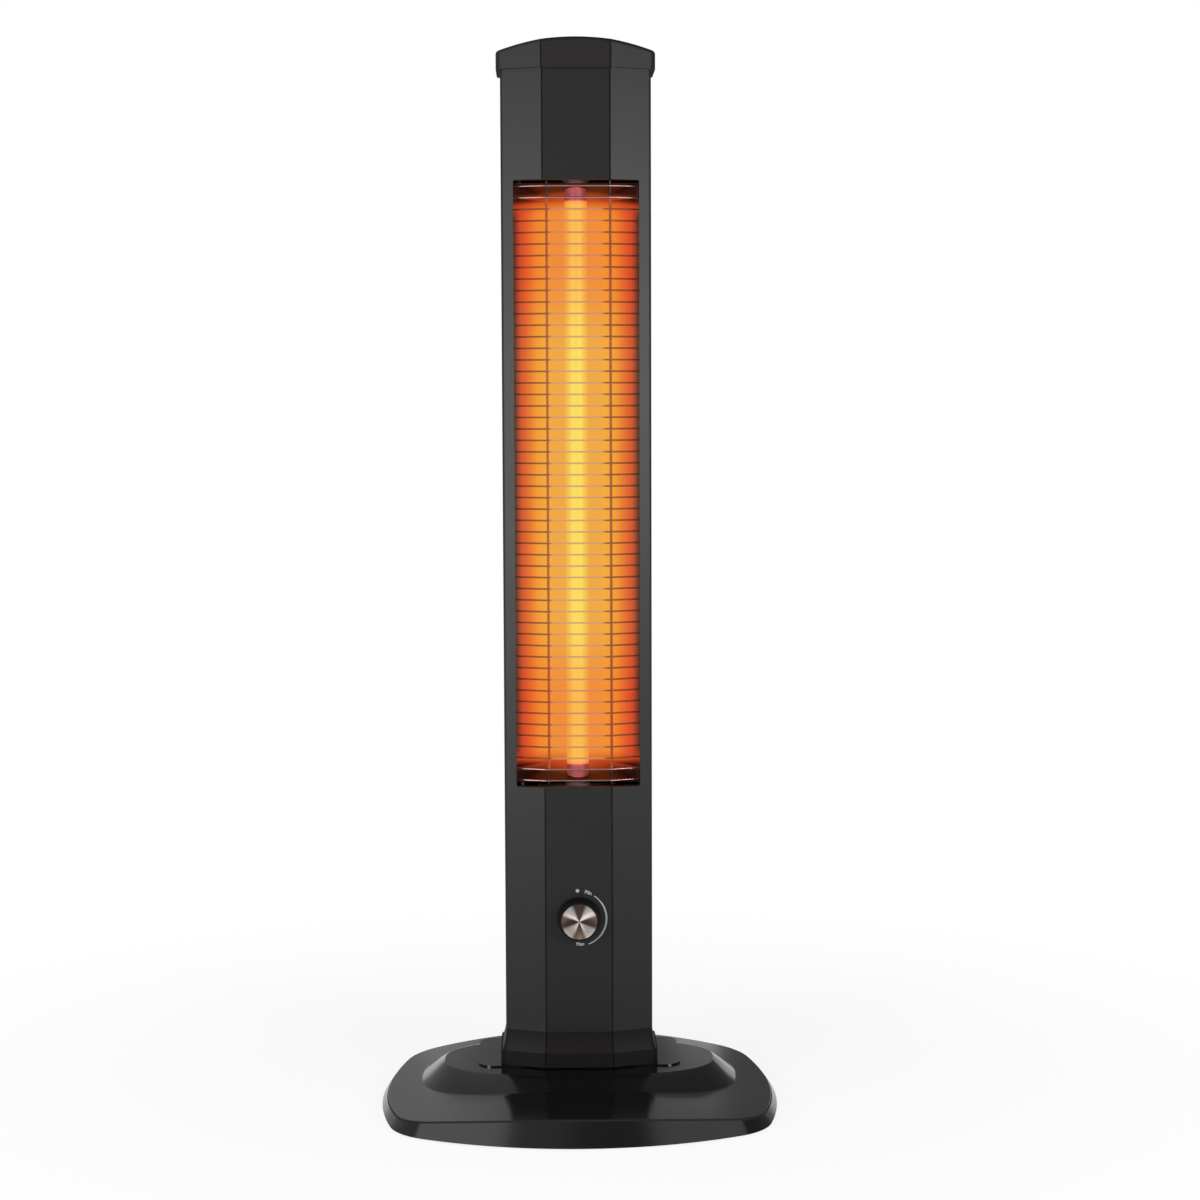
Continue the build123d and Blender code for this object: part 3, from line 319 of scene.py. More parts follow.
# The base's deck is a shallow barrel vault that ends in a crisp edge. The tool's polish
# stopped just short of it, so the top of the skirt has a dull line that mirrors hardly
# anything. The line is as far below the vault at every X.
vault_top, vault_radius = 20.4 * MM, 1000 * MM
crease_depth, crease_half = 0.9 * MM, 0.6 * MM
tree = gloss_abs.node_tree
place = add(tree, "ShaderNodeTexCoord").outputs["Object"]
axes = add(tree, "ShaderNodeSeparateXYZ", {0: place}).outputs
drop = add(tree, "ShaderNodeMath", {0: axes["X"], 1: axes["X"]}, operation="MULTIPLY")
drop = add(tree, "ShaderNodeMath", {0: drop.outputs[0], 1: 1 / (2 * vault_radius),
                                    2: axes["Z"]}, operation="MULTIPLY_ADD")
crease = add(tree, "ShaderNodeMath", {0: drop.outputs[0], 1: vault_top - crease_depth,
                                      2: crease_half}, operation="COMPARE")
roughen(gloss_abs, crease.outputs[0])
print("dull line", round(2 * crease_half / MM, 1), "mm wide")

# %% [markdown]
# ## Metals
#
# A metal's colour is its reflection, so its base colour is the share of light it gives back.
# Zinc plate is a little cloudy and milled aluminium is satin. A slow change of roughness gives
# the uneven shine of real sheet.

# %% Plated and bare metals
def plain_metal(name, dark, light, roughness, size, swing=0.06):
    """Metal with cloudy changes of tone and shine, of the given size."""
    material, tree, output = new_material(name)
    place = add(tree, "ShaderNodeTexCoord").outputs["Object"]
    cloud, tone = clouded(tree, place, size, dark, light)
    shine = add(tree, "ShaderNodeMapRange", {"Value": cloud, "To Min": roughness - swing,
                                             "To Max": roughness + swing})
    skin = add(tree, "ShaderNodeBsdfPrincipled", {"Base Color": tone, "Metallic": 1.0,
                                                  "Roughness": shine.outputs["Result"]})
    tree.links.new(skin.outputs[0], output.inputs["Surface"])
    return material


# Electroplated zinc, passivated: grey, faintly cloudy.
zinc_plate = plain_metal("passivated_zinc_plate", "8b8d8e", "a4a6a8", 0.38, 12 * MM)
# Extruded and cut aluminium, left bare.
mill_aluminium = plain_metal("mill_finish_aluminium", "9a9b9d", "b1b2b4", 0.35, 10 * MM)
print("materials:", len(bpy.data.materials))

# %% [markdown]
# ## The glow
#
# The lamp is a quartz tube with a carbon ribbon inside. At full power the whole width of the
# tube shines yellow, and the polished trough behind it throws the light forwards: orange next
# to the tube, red towards its rims, and fading within two centimetres of its ends. Blender
# could work this light out from a lamp in the tube, but slowly and with noise, and it would be
# lost from the exported model. Emission that follows the distance from the lamp's axis gives
# the same bands from every side.

# %% Places on the lamp
tube_low, tube_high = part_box("lamp_tube")
trough_low, trough_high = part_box("reflector")
lamp_middle = (tube_low.z + tube_high.z) / 2
lit_half = (trough_high.z - trough_low.z) / 2
tube_radius = (tube_high.x - tube_low.x) / 2
trough_half = 50 * MM
guard_half = 56 * MM
# The lamp runs hottest in the middle of its height, so green and blue are raised there and
# lowered near its ends. The two shares are of half the lit height.
hot_share, plain_share = 0.45, 0.78
hot_tint, plain_tint = 1.36, 0.93
# A face that slopes by more than one in eight isn't upright, and the glow has its full
# strength from a quarter of the way up its fade.
upright_slope = 1 / 8
full_glow = 1 / 4
print("lit from", round((lamp_middle - lit_half) / MM), "to",
      round((lamp_middle + lit_half) / MM), "mm")

# %% Glow that follows the place on the lamp
def glowing(name, bands, half_width, fade, ember, dark, light, cool, cloud, facing=1.5,
            reach=lit_half, rounding=0, upright=None, **settings):
    """Skin that shines in colour bands from the lamp's axis outwards. A band is its distance
    from the axis in millimetres, and a colour. Near the reach, over the length of the fade,
    it shines like an ember, and past it has only its cool colour. Only faces whose normal has
    a Y below facing shine, so that a sheet's back can stay dark. The lit part is shorter at
    its rims by the rounding. Upright faces past the reach may be cool in another tone, a
    painted shade. On a part that is no lamp, the bands and the ember are painted light."""
    material, tree, output = new_material(name)
    coordinates = add(tree, "ShaderNodeTexCoord").outputs
    place = coordinates["Object"]
    axes = add(tree, "ShaderNodeSeparateXYZ", {0: place}).outputs
    across = add(tree, "ShaderNodeMath", {0: axes["X"]}, operation="ABSOLUTE")
    share = add(tree, "ShaderNodeMath", {0: across.outputs[0], 1: half_width}, operation="DIVIDE")
    ramp = add(tree, "ShaderNodeValToRGB", {"Fac": share.outputs[0]})
    for _ in bands[2:]:
        ramp.color_ramp.elements.new(0.5)
    for element, (offset, colour) in zip(ramp.color_ramp.elements, bands):
        element.position = offset / (half_width / MM)
        element.color = linear(colour)
    along = add(tree, "ShaderNodeMath", {0: axes["Z"], 1: lamp_middle}, operation="SUBTRACT")
    along = add(tree, "ShaderNodeMath", {0: along.outputs[0]}, operation="ABSOLUTE")
    yellow = add(tree, "ShaderNodeMapRange", {
        "Value": along.outputs[0], "From Min": plain_share * lit_half,
        "From Max": hot_share * lit_half, "To Min": plain_tint, "To Max": hot_tint},
        interpolation_type="SMOOTHSTEP").outputs["Result"]
    tint = add(tree, "ShaderNodeCombineXYZ", {"X": 1.0, "Y": yellow, "Z": yellow})
    banded = add(tree, "ShaderNodeVectorMath", {0: ramp.outputs[0], 1: tint.outputs[0]},
                 operation="MULTIPLY")
    square = add(tree, "ShaderNodeMath", {0: share.outputs[0], 1: 2.0}, operation="POWER")
    along = add(tree, "ShaderNodeMath", {0: square.outputs[0], 1: rounding,
                                         2: along.outputs[0]}, operation="MULTIPLY_ADD")
    lit = add(tree, "ShaderNodeMapRange", {"Value": along.outputs[0], "From Min": reach,
                                           "From Max": reach - fade},
              interpolation_type="SMOOTHSTEP")
    tone = clouded(tree, place, cloud, dark, light)[1]
    normal = add(tree, "ShaderNodeSeparateXYZ", {0: coordinates["Normal"]}).outputs
    # Mask of upright faces: past the reach they take the upright tone, a painted shade.
    level = add(tree, "ShaderNodeMath", {0: normal["Z"]}, operation="ABSOLUTE")
    level = add(tree, "ShaderNodeMath", {0: level.outputs[0], 1: 1 / upright_slope},
                operation="MULTIPLY", use_clamp=True)
    unlit = add(tree, "ShaderNodeMix", {"Factor": level.outputs[0],
                                        "A": linear(upright or cool), "B": linear(cool)},
                data_type="RGBA")
    tone = add(tree, "ShaderNodeMix", {"Factor": lit.outputs["Result"], "A": unlit.outputs[2],
                                       "B": tone}, data_type="RGBA")
    shine = add(tree, "ShaderNodeMix", {"Factor": lit.outputs["Result"], "A": linear(ember),
                                        "B": banded.outputs[0]}, data_type="RGBA")
    strength = add(tree, "ShaderNodeMath", {0: lit.outputs["Result"], 1: 1 / full_glow},
                   operation="MULTIPLY", use_clamp=True)
    front = add(tree, "ShaderNodeMath", {0: normal["Y"], 1: facing}, operation="LESS_THAN")
    strength = add(tree, "ShaderNodeMath", {0: strength.outputs[0], 1: front.outputs[0]},
                   operation="MULTIPLY")
    skin = add(tree, "ShaderNodeBsdfPrincipled", {"Base Color": tone.outputs[2],
                                                  "Emission Color": shine.outputs[2],
                                                  "Emission Strength": strength.outputs[0]})
    for label, value in settings.items():
        skin.inputs[label].default_value = value
    tree.links.new(skin.outputs[0], output.inputs["Surface"])
    return material


print("hottest over the middle", round(2 * hot_share * lit_half / MM), "mm")

# %% Lamp, trough and wire
# Fused quartz with glowing carbon inside: yellow across the tube, orange at its edges, and a
# dusty rose where no carbon shines.
quartz_glow = glowing("glowing_quartz", [(0, "f4bc42"), (5, "f2b43e"), (9, "e8963c")],
                      tube_radius, fade=5 * MM, ember="d86a20", dark="2c1a12", light="382014",
                      cool="b04e54", cloud=12 * MM,
                      **{"Roughness": 0.45, "Specular IOR Level": 0.3})
# Aluminium sheet, polished on one side, that mirrors the lamp. The broad orange wash is a painted
# reflection of the lamp, and its brown metal colour is painted light from the lamp too. Its
# rims, which look away from the lamp, are painted dark.
trough_painted_glow = glowing("polished_trough", [(0, "e88e40"), (24, "ec9236"), (32, "e8862e"),
                                          (37, "e26a2a"), (41, "da5628"), (45, "c4462a"),
                                          (48, "7a3626"), (50, "4c281e")],
                      trough_half, fade=16 * MM, ember="b83c16", dark="46281c",
                      light="503022", cool="5a2e26", cloud=20 * MM, facing=-0.02,
                      reach=lit_half + 6 * MM, rounding=8 * MM, Metallic=1.0, Roughness=0.4)
# The trough's hoods slope away from the lamp. Their lips have an ember red that is painted
# glow, and the rest a dark copper brown, a painted reflection of the dim glow on the aluminium.
hood_painted_glow = glowing("polished_trough_hood", [(0, "cc5220"), (30, "bc441c"), (50, "6a2010")],
                     trough_half, fade=10 * MM, ember="3c160c", dark="4a2e28", light="5c3c34",
                     cool="4c302a", cloud=9 * MM, reach=lit_half + 9 * MM, rounding=5 * MM,
                     Metallic=1.0, Roughness=0.5)
# Bright chrome over drawn steel wire. In front of the lamp it is painted dark, a painted shade,
# and a painted orange glow, paler over the middle third as a painted reflection, stands for the
# light that comes round each thin wire. At the cool ends it is still bright, and the upright
# rods there are painted darker, as painted shade behind the cross wires.
wire_painted_glow = glowing("chrome_wire_in_painted_glow", [(0, "cc8c6c"), (20, "ca8462"), (23, "a04e24"),
                                                (30, "86401e"), (44, "642a14"), (56, "2c140e")],
                    guard_half, fade=4 * MM, ember="a05038", dark="2a1e1c", light="3c2c2a",
                    cool="a88680", cloud=8 * MM, upright="342a2a", Metallic=1.0, Roughness=0.36)
# The carbon ribbon itself, inside the tube.
carbon_glow = glowing("glowing_carbon", [(0, "ffd870"), (9, "ff9a3c")], tube_radius,
                      fade=5 * MM, ember="d86a20", dark="262626", light="303030",
                      cool="202020", cloud=2 * MM, Roughness=0.8)
print("materials:", len(bpy.data.materials))

# %% [markdown]
# ## The knob's spun face
#
# The metal face was turned on a lathe, so it has fine rings. Rings spread a highlight along
# the radius, and each soft box draws a bright wedge through the centre. In the shader this is
# anisotropy with tangents that run round the knob's axis, and a bump of drawn rings. The same
# bump is dished a little, which makes the upper wedges brighter than the lower ones. The
# metal's colour is also paler in four fixed wedges on the diagonals, a painted highlight, so
# that they stay clear in dim light.

# %% Spun metal
face_low, face_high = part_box("knob_face")
knob_axis = Vector(((face_low.x + face_high.x) / 2, 0, (face_low.z + face_high.z) / 2))
ring_pitch = 0.9 * MM
ring_depth = 0.006 * MM
# A wave texture of scale 1 repeats over this length.
wave_length = 0.314
# The dish's slope at the rim, and its depth over the square of the radius.
rim_slope = 0.3
face_radius = 14.3 * MM
dish_curve = rim_slope / (2 * face_radius)
# A heading's X times its Z is 0 along the face's level and upright lines, 0.5 on its diagonals.
wedge_starts, wedge_full = 0.26, 0.5

spun_metal, tree, output = new_material("lathe_turned_nickel")
place = add(tree, "ShaderNodeTexCoord").outputs["Object"]
centred = add(tree, "ShaderNodeMapping", {"Vector": place, "Location": -knob_axis})
flat = add(tree, "ShaderNodeVectorMath", {0: centred.outputs[0], 1: (1, 0, 1)},
           operation="MULTIPLY")
rings = add(tree, "ShaderNodeTexWave", {"Vector": flat.outputs[0],
                                        "Scale": wave_length / ring_pitch,
                                        "Distortion": 0.4, "Detail": 2.0},
            wave_type="RINGS", rings_direction="SPHERICAL")
radius_squared = add(tree, "ShaderNodeVectorMath", {0: flat.outputs[0], 1: flat.outputs[0]},
                     operation="DOT_PRODUCT")
dish = add(tree, "ShaderNodeMath", {0: radius_squared.outputs["Value"], 1: dish_curve / MM},
           operation="MULTIPLY")
turned = add(tree, "ShaderNodeMath", {0: rings.outputs["Fac"], 1: ring_depth / MM,
                                      2: dish.outputs[0]}, operation="MULTIPLY_ADD")
bump = add(tree, "ShaderNodeBump", {"Height": turned.outputs[0], "Strength": 1.0,
                                    "Distance": MM})
heading = add(tree, "ShaderNodeVectorMath", {0: flat.outputs[0]}, operation="NORMALIZE")
heading = add(tree, "ShaderNodeSeparateXYZ", {0: heading.outputs[0]}).outputs
diagonal = add(tree, "ShaderNodeMath", {0: heading["X"], 1: heading["Z"]}, operation="MULTIPLY")
diagonal = add(tree, "ShaderNodeMath", {0: diagonal.outputs[0]}, operation="ABSOLUTE")
wedge = add(tree, "ShaderNodeMapRange", {"Value": diagonal.outputs[0],
                                         "From Min": wedge_starts, "From Max": wedge_full},
            interpolation_type="SMOOTHSTEP")
# Paler metal in the diagonal wedges: a painted highlight, fixed on the face.
tone = add(tree, "ShaderNodeMix", {"Factor": wedge.outputs["Result"], "A": linear("4e4039"),
                                   "B": linear("bcb5b0")}, data_type="RGBA")
around = add(tree, "ShaderNodeTangent", direction_type="RADIAL", axis="Y")
skin = add(tree, "ShaderNodeBsdfPrincipled", {
    "Base Color": tone.outputs[2], "Metallic": 1.0, "Roughness": 0.42, "Anisotropic": 0.9,
    "Normal": bump.outputs["Normal"], "Tangent": around.outputs["Tangent"]})
tree.links.new(skin.outputs[0], output.inputs["Surface"])
print("knob axis at", [round(v / MM, 1) for v in knob_axis])

# %% [markdown]
# ## Finishes onto the solid model
#
# A solid whose shape is right only needs its finish. Each node keeps its own mesh, and its
# material slots are pointed at one of the finishes above.

# %% Assign the finishes
finishes = {
    powder_coat: ["front_profile", "rear_cover"],
    matt_abs: ["top_cap", "cord_bush", "tip_microswitch"],
    dull_abs: ["column_shoe", "foot_collar"],
    gloss_abs: ["base_shell"],
    knob_paint: ["knob_body"],
    foot_rubber: ["rubber_feet"],
    pale_nylon: ["regulator_body", "terminal_block", "board_standoffs", "thermal_cutout",
                 "tip_switch_housing", "tip_plunger"],
    solder_mask: ["control_board"],
    steatite: ["lamp_end_upper", "lamp_end_lower"],
    glass_sleeve: ["upper_lead", "lower_lead", "cutout_lead"],
    zinc_plate: ["base_plate", "foot_frame", "control_bracket", "upper_bulkhead",
                 "lower_bulkhead", "lamp_clips", "base_plate_screws", "foot_bolts",
                 "column_screws", "rear_cover_screws", "cap_screws", "regulator_nut",
                 "regulator_shaft", "tip_spring"],
    mill_aluminium: ["heat_sink"],
    spun_metal: ["knob_face"],
    wire_painted_glow: ["wire_guard"],
    quartz_glow: ["lamp_tube"],
    trough_painted_glow: ["reflector"],
    hood_painted_glow: ["reflector_end_upper", "reflector_end_lower"],
    carbon_glow: ["carbon_element"],
}
for material, nodes in finishes.items():
    for node in nodes:
        for material_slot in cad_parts[node].material_slots:
            material_slot.material = material
print("finished nodes:", sum(len(nodes) for nodes in finishes.values()))

# %% [markdown]
# ## Shapes that repeat, grown by node trees
#
# The guard's wires and the screws repeat one shape many times. Geometry Nodes make such
# pieces from a few named sizes. The helpers below start a tree with named inputs, end it, and
# run it once on a small start mesh. The result is kept as a plain mesh, so that what leaves
# this file has no live modifiers.

# %% Helpers for geometry trees
def geometry_tree(name, sizes):
    """New tree with a named input for each size. Gives the tree and its entry sockets."""
    tree = bpy.data.node_groups.new(name, "GeometryNodeTree")
    tree.is_modifier = True
    tree.interface.new_socket("Result", in_out="OUTPUT", socket_type="NodeSocketGeometry")
    tree.interface.new_socket("Start", in_out="INPUT", socket_type="NodeSocketGeometry")
    for label, value in sizes.items():
        kind = "Vector" if isinstance(value, tuple) else type(value).__name__.capitalize()
        tree.interface.new_socket(label, in_out="INPUT", socket_type="NodeSocket" + kind)
    return tree, add(tree, "NodeGroupInput").outputs


def end_tree(tree, shape, material):
    """Last nodes of a tree: plain geometry in one material."""
    real = add(tree, "GeometryNodeRealizeInstances", {0: shape})
    painted = add(tree, "GeometryNodeSetMaterial", {0: real.outputs[0], "Material": material})
    add(tree, "NodeGroupOutput", {0: painted.outputs[0]})


def plain_mesh(holder):
    """What an object's modifiers or letters make, as a plain mesh. The object itself goes."""
    view = bpy.context.evaluated_depsgraph_get()
    mesh = bpy.data.meshes.new_from_object(holder.evaluated_get(view))
    bpy.data.objects.remove(holder)
    return mesh


def finished_piece(name, mesh, body):
    """Piece with a finished mesh, which rides on a body."""
    piece = bpy.data.objects.new(name, mesh)
    bpy.context.collection.objects.link(piece)
    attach(piece, body)
    print(name, "has", len(mesh.polygons), "faces")
    return piece


def grow(name, points, edges, tree, sizes, body):
    """Runs a tree on a mesh of points and edges, and keeps the result as a plain mesh."""
    start = bpy.data.meshes.new(name + "_start")
    start.from_pydata(points, edges, [])
    holder = bpy.data.objects.new(name + "_holder", start)
    bpy.context.collection.objects.link(holder)
    modifier = holder.modifiers.new("grow", "NODES")
    modifier.node_group = tree
    for item in tree.interface.items_tree:
        if item.in_out == "INPUT" and item.name in sizes:
            modifier[item.identifier] = sizes[item.name]
    return finished_piece(name, plain_mesh(holder), body)


# %% [markdown]
# ## The wire guard
#
# A real guard is welded from straightened wire: many thin cross wires, each bent twice so
# that it follows the column's three faces, on four upright rods. The start mesh is the path
# of one cross wire. The tree rounds its two bends, gives it a round section, repeats it up
# the window, and adds the rods and a small weld bead where wire and rod touch.

# %% Guard tree
guard_sizes = {"Wires": 53, "Pitch": 9.2 * MM, "Wire radius": 0.7 * MM, "Rod radius": 1.0 * MM,
               "Bend radius": 5.0 * MM, "Rod length": 485.0 * MM, "Bead radius": 1.1 * MM}
guard_tree, size = geometry_tree("welded_guard", guard_sizes)
wire_sides, rod_sides = 10, 12
bend_steps = 4


def tube_along(tree, curve, radius, sides):
    """Round wire along a curve, with closed ends."""
    ring = add(tree, "GeometryNodeCurvePrimitiveCircle", {"Resolution": sides, "Radius": radius})
    wire = add(tree, "GeometryNodeCurveToMesh", {"Curve": curve, "Fill Caps": True,
                                                 "Profile Curve": ring.outputs[0]})
    return add(tree, "GeometryNodeSetShadeSmooth", {0: wire.outputs[0]}).outputs[0]


path = add(guard_tree, "GeometryNodeMeshToCurve", {"Mesh": size["Start"]})
bent = add(guard_tree, "GeometryNodeFilletCurve", {
    "Curve": path.outputs[0], "Count": bend_steps, "Radius": size["Bend radius"]}, mode="POLY")
wire = tube_along(guard_tree, bent.outputs[0], size["Wire radius"], wire_sides)
step_up = add(guard_tree, "ShaderNodeCombineXYZ", {"Z": size["Pitch"]}).outputs[0]
levels = add(guard_tree, "GeometryNodeMeshLine", {"Count": size["Wires"], "Offset": step_up})
wires = add(guard_tree, "GeometryNodeInstanceOnPoints", {"Points": levels.outputs[0],
                                                         "Instance": wire})
guard_parts = [wires.outputs[0]]
print("guard sizes:", len(guard_sizes))

# %% Rods and weld beads
# The column's outer facets fall back 12 mm over a width of 33 mm, and the guard with them.
facet_slope = 12 / 33
wire_inset = 0.9 * MM
front_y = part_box("wire_guard")[0].y + wire_inset
bend_x = 26.4 * MM
wire_end_x = 55.4 * MM
uprights = ((-23.6 * MM, 27.2 * MM), (-53.6 * MM, 53.6 * MM))
rod_behind = 1.7 * MM
bead_behind = 0.9 * MM
rod_overhang = 2.7 * MM
first_wire_z = lamp_middle - (guard_sizes["Wires"] - 1) * guard_sizes["Pitch"] / 2

top = add(guard_tree, "ShaderNodeCombineXYZ", {"Z": size["Rod length"]}).outputs[0]
line = add(guard_tree, "GeometryNodeCurvePrimitiveLine", {"End": top})
rod = tube_along(guard_tree, line.outputs[0], size["Rod radius"], rod_sides)
bead = add(guard_tree, "GeometryNodeMeshIcoSphere", {"Radius": size["Bead radius"],
                                                     "Subdivisions": 2})
bead = add(guard_tree, "GeometryNodeSetShadeSmooth", {0: bead.outputs[0]})
beads = add(guard_tree, "GeometryNodeInstanceOnPoints", {"Points": levels.outputs[0],
                                                         "Instance": bead.outputs[0]})
for left, right in uprights:
    y = front_y + facet_slope * max(0, right - bend_x)
    for upright, foot in ((rod, (left, y + rod_behind, first_wire_z - rod_overhang)),
                          (beads.outputs[0], (left, y + bead_behind, first_wire_z))):
        feet = add(guard_tree, "GeometryNodeMeshLine", {"Count": 2, "Start Location": foot,
                                                        "Offset": (right - left, 0, 0)})
        pair = add(guard_tree, "GeometryNodeInstanceOnPoints", {"Points": feet.outputs[0],
                                                                "Instance": upright})
        guard_parts.append(pair.outputs[0])

joined = add(guard_tree, "GeometryNodeJoinGeometry")
for part in guard_parts:
    guard_tree.links.new(part, joined.inputs[0])
end_tree(guard_tree, joined.outputs[0], wire_painted_glow)

end_y = front_y + facet_slope * (wire_end_x - bend_x)
bends = [(-wire_end_x, end_y, first_wire_z), (-bend_x, front_y, first_wire_z),
         (bend_x, front_y, first_wire_z), (wire_end_x, end_y, first_wire_z)]
guard = grow("guard_wires", bends, [(0, 1), (1, 2), (2, 3)], guard_tree, guard_sizes, "heater")
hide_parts("wire_guard")

# %% [markdown]
# ## Screws with cross recesses
#
# The screws that can be seen, under the base and on the back, are pan-head screws with a
# cross recess. A lathe profile could give the head, but not its cross. So the tree squashes a
# ball to the head's radius and height, and cuts away its lower half and two crossed bars. The
# cutters are sized in shares of the head, so one tree fits screws of any size. It then adds
# the shank, and puts a copy on every point of the start mesh.

# %% Screw tree
screw_sizes = {"Head radius": 4.0 * MM, "Head height": 2.3 * MM, "Shank radius": 1.95 * MM,
               "Shank length": 7.5 * MM, "Turn": (0.0, 0.0, 0.0)}
screw_tree, size = geometry_tree("cross_recess_screws", screw_sizes)
bar_length, bar_width, bar_height = 1.1, 0.24, 1.1
# Each cutter's size and the height of its middle, in shares of the head.
cutters = (((3.0, 3.0, 2.0), -1.0), ((bar_length, bar_width, bar_height), 1.0),
           ((bar_width, bar_length, bar_height), 1.0))

ball = add(screw_tree, "GeometryNodeMeshUVSphere", {"Segments": 32, "Rings": 16, "Radius": 1.0})
head_size = add(screw_tree, "ShaderNodeCombineXYZ", {
    "X": size["Head radius"], "Y": size["Head radius"], "Z": size["Head height"]}).outputs[0]
head = add(screw_tree, "GeometryNodeTransform", {0: ball.outputs[0], "Scale": head_size})
cut = add(screw_tree, "GeometryNodeMeshBoolean", {"Mesh 1": head.outputs[0]},
          operation="DIFFERENCE")
for shares, z_share in cutters:
    cutter_size = add(screw_tree, "ShaderNodeVectorMath", {0: head_size, 1: shares},
                      operation="MULTIPLY")
    cutter = add(screw_tree, "GeometryNodeMeshCube", {"Size": cutter_size.outputs[0]})
    middle = add(screw_tree, "ShaderNodeVectorMath", {0: head_size, 1: (0.0, 0.0, z_share)},
                 operation="MULTIPLY")
    cutter = add(screw_tree, "GeometryNodeTransform", {0: cutter.outputs[0],
                                                       "Translation": middle.outputs[0]})
    screw_tree.links.new(cutter.outputs[0], cut.inputs["Mesh 2"])
shank = add(screw_tree, "GeometryNodeMeshCylinder", {
    "Vertices": 20, "Radius": size["Shank radius"], "Depth": size["Shank length"]})
half_down = add(screw_tree, "ShaderNodeMath", {0: size["Shank length"], 1: -0.5},
                operation="MULTIPLY")
middle = add(screw_tree, "ShaderNodeCombineXYZ", {"Z": half_down.outputs[0]})
shank = add(screw_tree, "GeometryNodeTransform", {0: shank.outputs[0],
                                                  "Translation": middle.outputs[0]})
screw = add(screw_tree, "GeometryNodeJoinGeometry")
screw_tree.links.new(cut.outputs[0], screw.inputs[0])
screw_tree.links.new(shank.outputs[0], screw.inputs[0])
copies = add(screw_tree, "GeometryNodeInstanceOnPoints", {
    "Points": size["Start"], "Instance": screw.outputs[0], "Rotation": size["Turn"]})
end_tree(screw_tree, copies.outputs[0], zinc_plate)
print("screw sizes:", len(screw_sizes))

# %% Screws in their places
def screws_for(node, places, sizes):
    """Screws that stand for one node of the solid model."""
    piece = grow(node + "_cut", places, [], screw_tree, {**screw_sizes, **sizes}, "heater")
    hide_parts(node)


facing_down = {"Turn": (pi, 0.0, 0.0)}
facing_back = {"Head radius": 3.0 * MM, "Head height": 2.0 * MM, "Shank radius": 1.5 * MM,
               "Shank length": 8.0 * MM, "Turn": (-pi / 2, 0.0, 0.0)}
# A node's box touches its outer heads, so a screw's middle is one head radius inside it.
radius, height = screw_sizes["Head radius"], screw_sizes["Head height"]
low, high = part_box("base_plate_screws")
x, y, z = high.x - radius, high.y - radius, low.z + height
screws_for("base_plate_screws", [(i * x, j * y, z) for i in (-1, 1) for j in (-1, 1)],
           facing_down)
radius, height = facing_back["Head radius"], facing_back["Head height"]
low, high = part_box("rear_cover_screws")
x, y = high.x - radius, high.y - height
screws_for("rear_cover_screws", [(i * x, y, z) for i in (-1, 1)
                                 for z in (low.z + radius, high.z - radius)], facing_back)
low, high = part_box("cap_screws")
x, y, z = high.x - radius, high.y - height, (low.z + high.z) / 2
screws_for("cap_screws", [(i * x, y, z) for i in (-1, 1)], facing_back)

# %% [markdown]
# ## The printed dial
#
# Round the knob the column carries a pale print: a dot at the top for off, then Min, an arc
# that swells and thins again, and Max at the bottom. A pattern in the paint could draw them,
# but their edges stay crisper as geometry. Pad printing leaves a thin layer of ink, so the
# marks are flat shapes a tenth of a millimetre thick that lie on the paint.

# %% Ink
# Silver ink, pressed on by a silicone pad: a satin grey, speckled by its metal flakes.
flake_size = 0.6 * MM
ink, tree, output = new_material("pad_printed_silver_ink")
place = add(tree, "ShaderNodeTexCoord").outputs["Object"]
speckle = add(tree, "ShaderNodeTexNoise", {"Vector": place, "Scale": 1 / flake_size})
tone = add(tree, "ShaderNodeMix", {"Factor": speckle.outputs["Fac"], "A": linear("83888a"),
                                   "B": linear("9a9fa1")}, data_type="RGBA")
skin = add(tree, "ShaderNodeBsdfPrincipled", {"Base Color": tone.outputs[2], "Roughness": 0.5})
tree.links.new(skin.outputs[0], output.inputs["Surface"])
print("materials:", len(bpy.data.materials))

# %% Dot and swelling arc
panel_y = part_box("front_profile")[0].y
ink_depth = 0.1 * MM
dot_angle, dot_centre, dot_radius = -3, 23.0 * MM, 1.45 * MM
dot_sides = 24
arc_start, arc_end, arc_radius = 33, 160, 22.3 * MM
arc_steps = 48
thin, thick = 0.7 * MM, 1.5 * MM


def clock(angle, radius):
    """X and Z on the panel, at an angle in degrees clockwise from the top of the dial."""
    return (knob_axis.x + radius * sin(radians(angle)),
            knob_axis.z + radius * cos(radians(angle)))


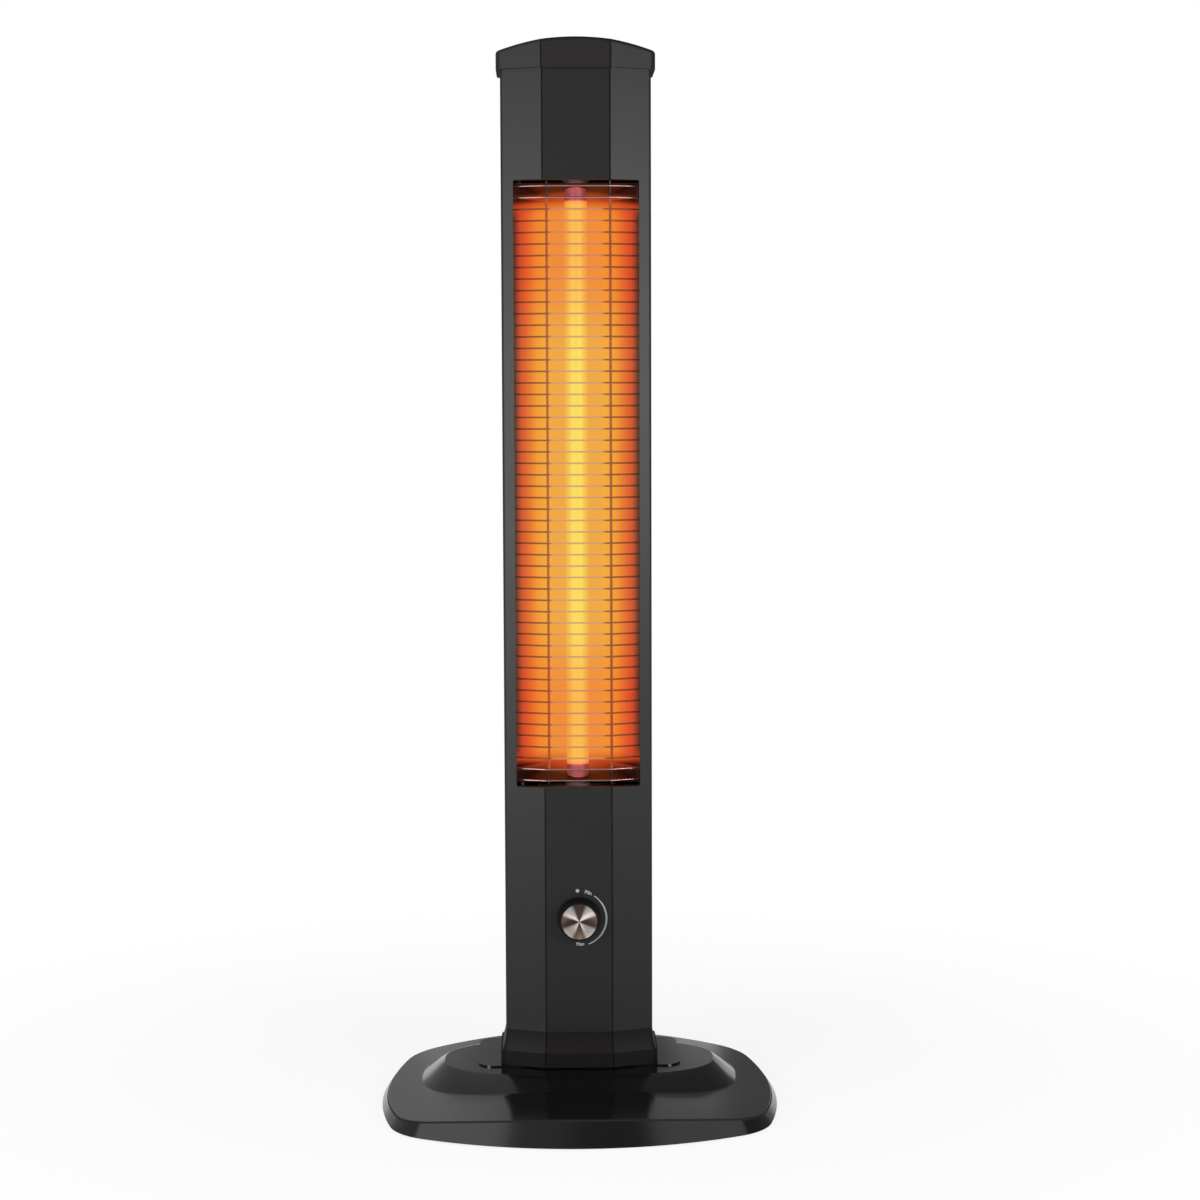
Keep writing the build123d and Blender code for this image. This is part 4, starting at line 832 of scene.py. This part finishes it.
def printed(name, outline):
    """Thin raised ink in the shape of a flat outline of X and Z."""
    count = len(outline)
    points = [(x, y, z) for y in (panel_y, panel_y - ink_depth) for x, z in outline]
    faces = [[count + i for i in range(count)], list(reversed(range(count)))]
    for i in range(count):
        j = (i + 1) % count
        faces.append([i, j, count + j, count + i])
    mesh = bpy.data.meshes.new(name)
    mesh.from_pydata(points, [], faces)
    mesh.materials.append(ink)
    finished_piece(name, mesh, "heater")


dot_x, dot_z = clock(dot_angle, dot_centre)
turns = [2 * pi * i / dot_sides for i in range(dot_sides)]
dot = [(dot_x + dot_radius * cos(turn), dot_z + dot_radius * sin(turn)) for turn in turns]
outer_line, inner_line = [], []
for i in range(arc_steps + 1):
    share = i / arc_steps
    half_wide = (thin + (thick - thin) * sin(pi * share)) / 2
    angle = arc_start + share * (arc_end - arc_start)
    outer_line.append(clock(angle, arc_radius + half_wide))
    inner_line.append(clock(angle, arc_radius - half_wide))
printed("dial_dot", dot)
printed("dial_arc", outer_line[::-1] + inner_line)

# %% Min and Max
# Capitals take up this share of a font's size, and ink spreads a little as it is pressed on.
capital_share = 0.7
ink_spread = 0.12 * MM


def printed_word(name, text, height, angle, radius, tilt):
    """Ink letters on the panel, with their middle on the dial at an angle."""
    letters = bpy.data.curves.new(name, "FONT")
    letters.body = text
    letters.size = height / capital_share
    letters.extrude = ink_depth / 2
    letters.offset = ink_spread
    letters.align_x = "CENTER"
    letters.align_y = "CENTER"
    letters.resolution_u = 3
    writer = bpy.data.objects.new(name + "_writer", letters)
    bpy.context.collection.objects.link(writer)
    mesh = plain_mesh(writer)
    x, z = clock(angle, radius)
    mesh.transform(Matrix.Translation((x, panel_y - ink_depth / 2, z))
                   @ Matrix.Rotation(radians(tilt), 4, "Y") @ Matrix.Rotation(pi / 2, 4, "X"))
    mesh.materials.clear()
    mesh.materials.append(ink)
    finished_piece(name, mesh, "heater")


printed_word("dial_min", "Min", height=2.9 * MM, angle=19.5, radius=22.6 * MM, tilt=20)
printed_word("dial_max", "Max", height=2.7 * MM, angle=177.5, radius=21.0 * MM, tilt=-2)
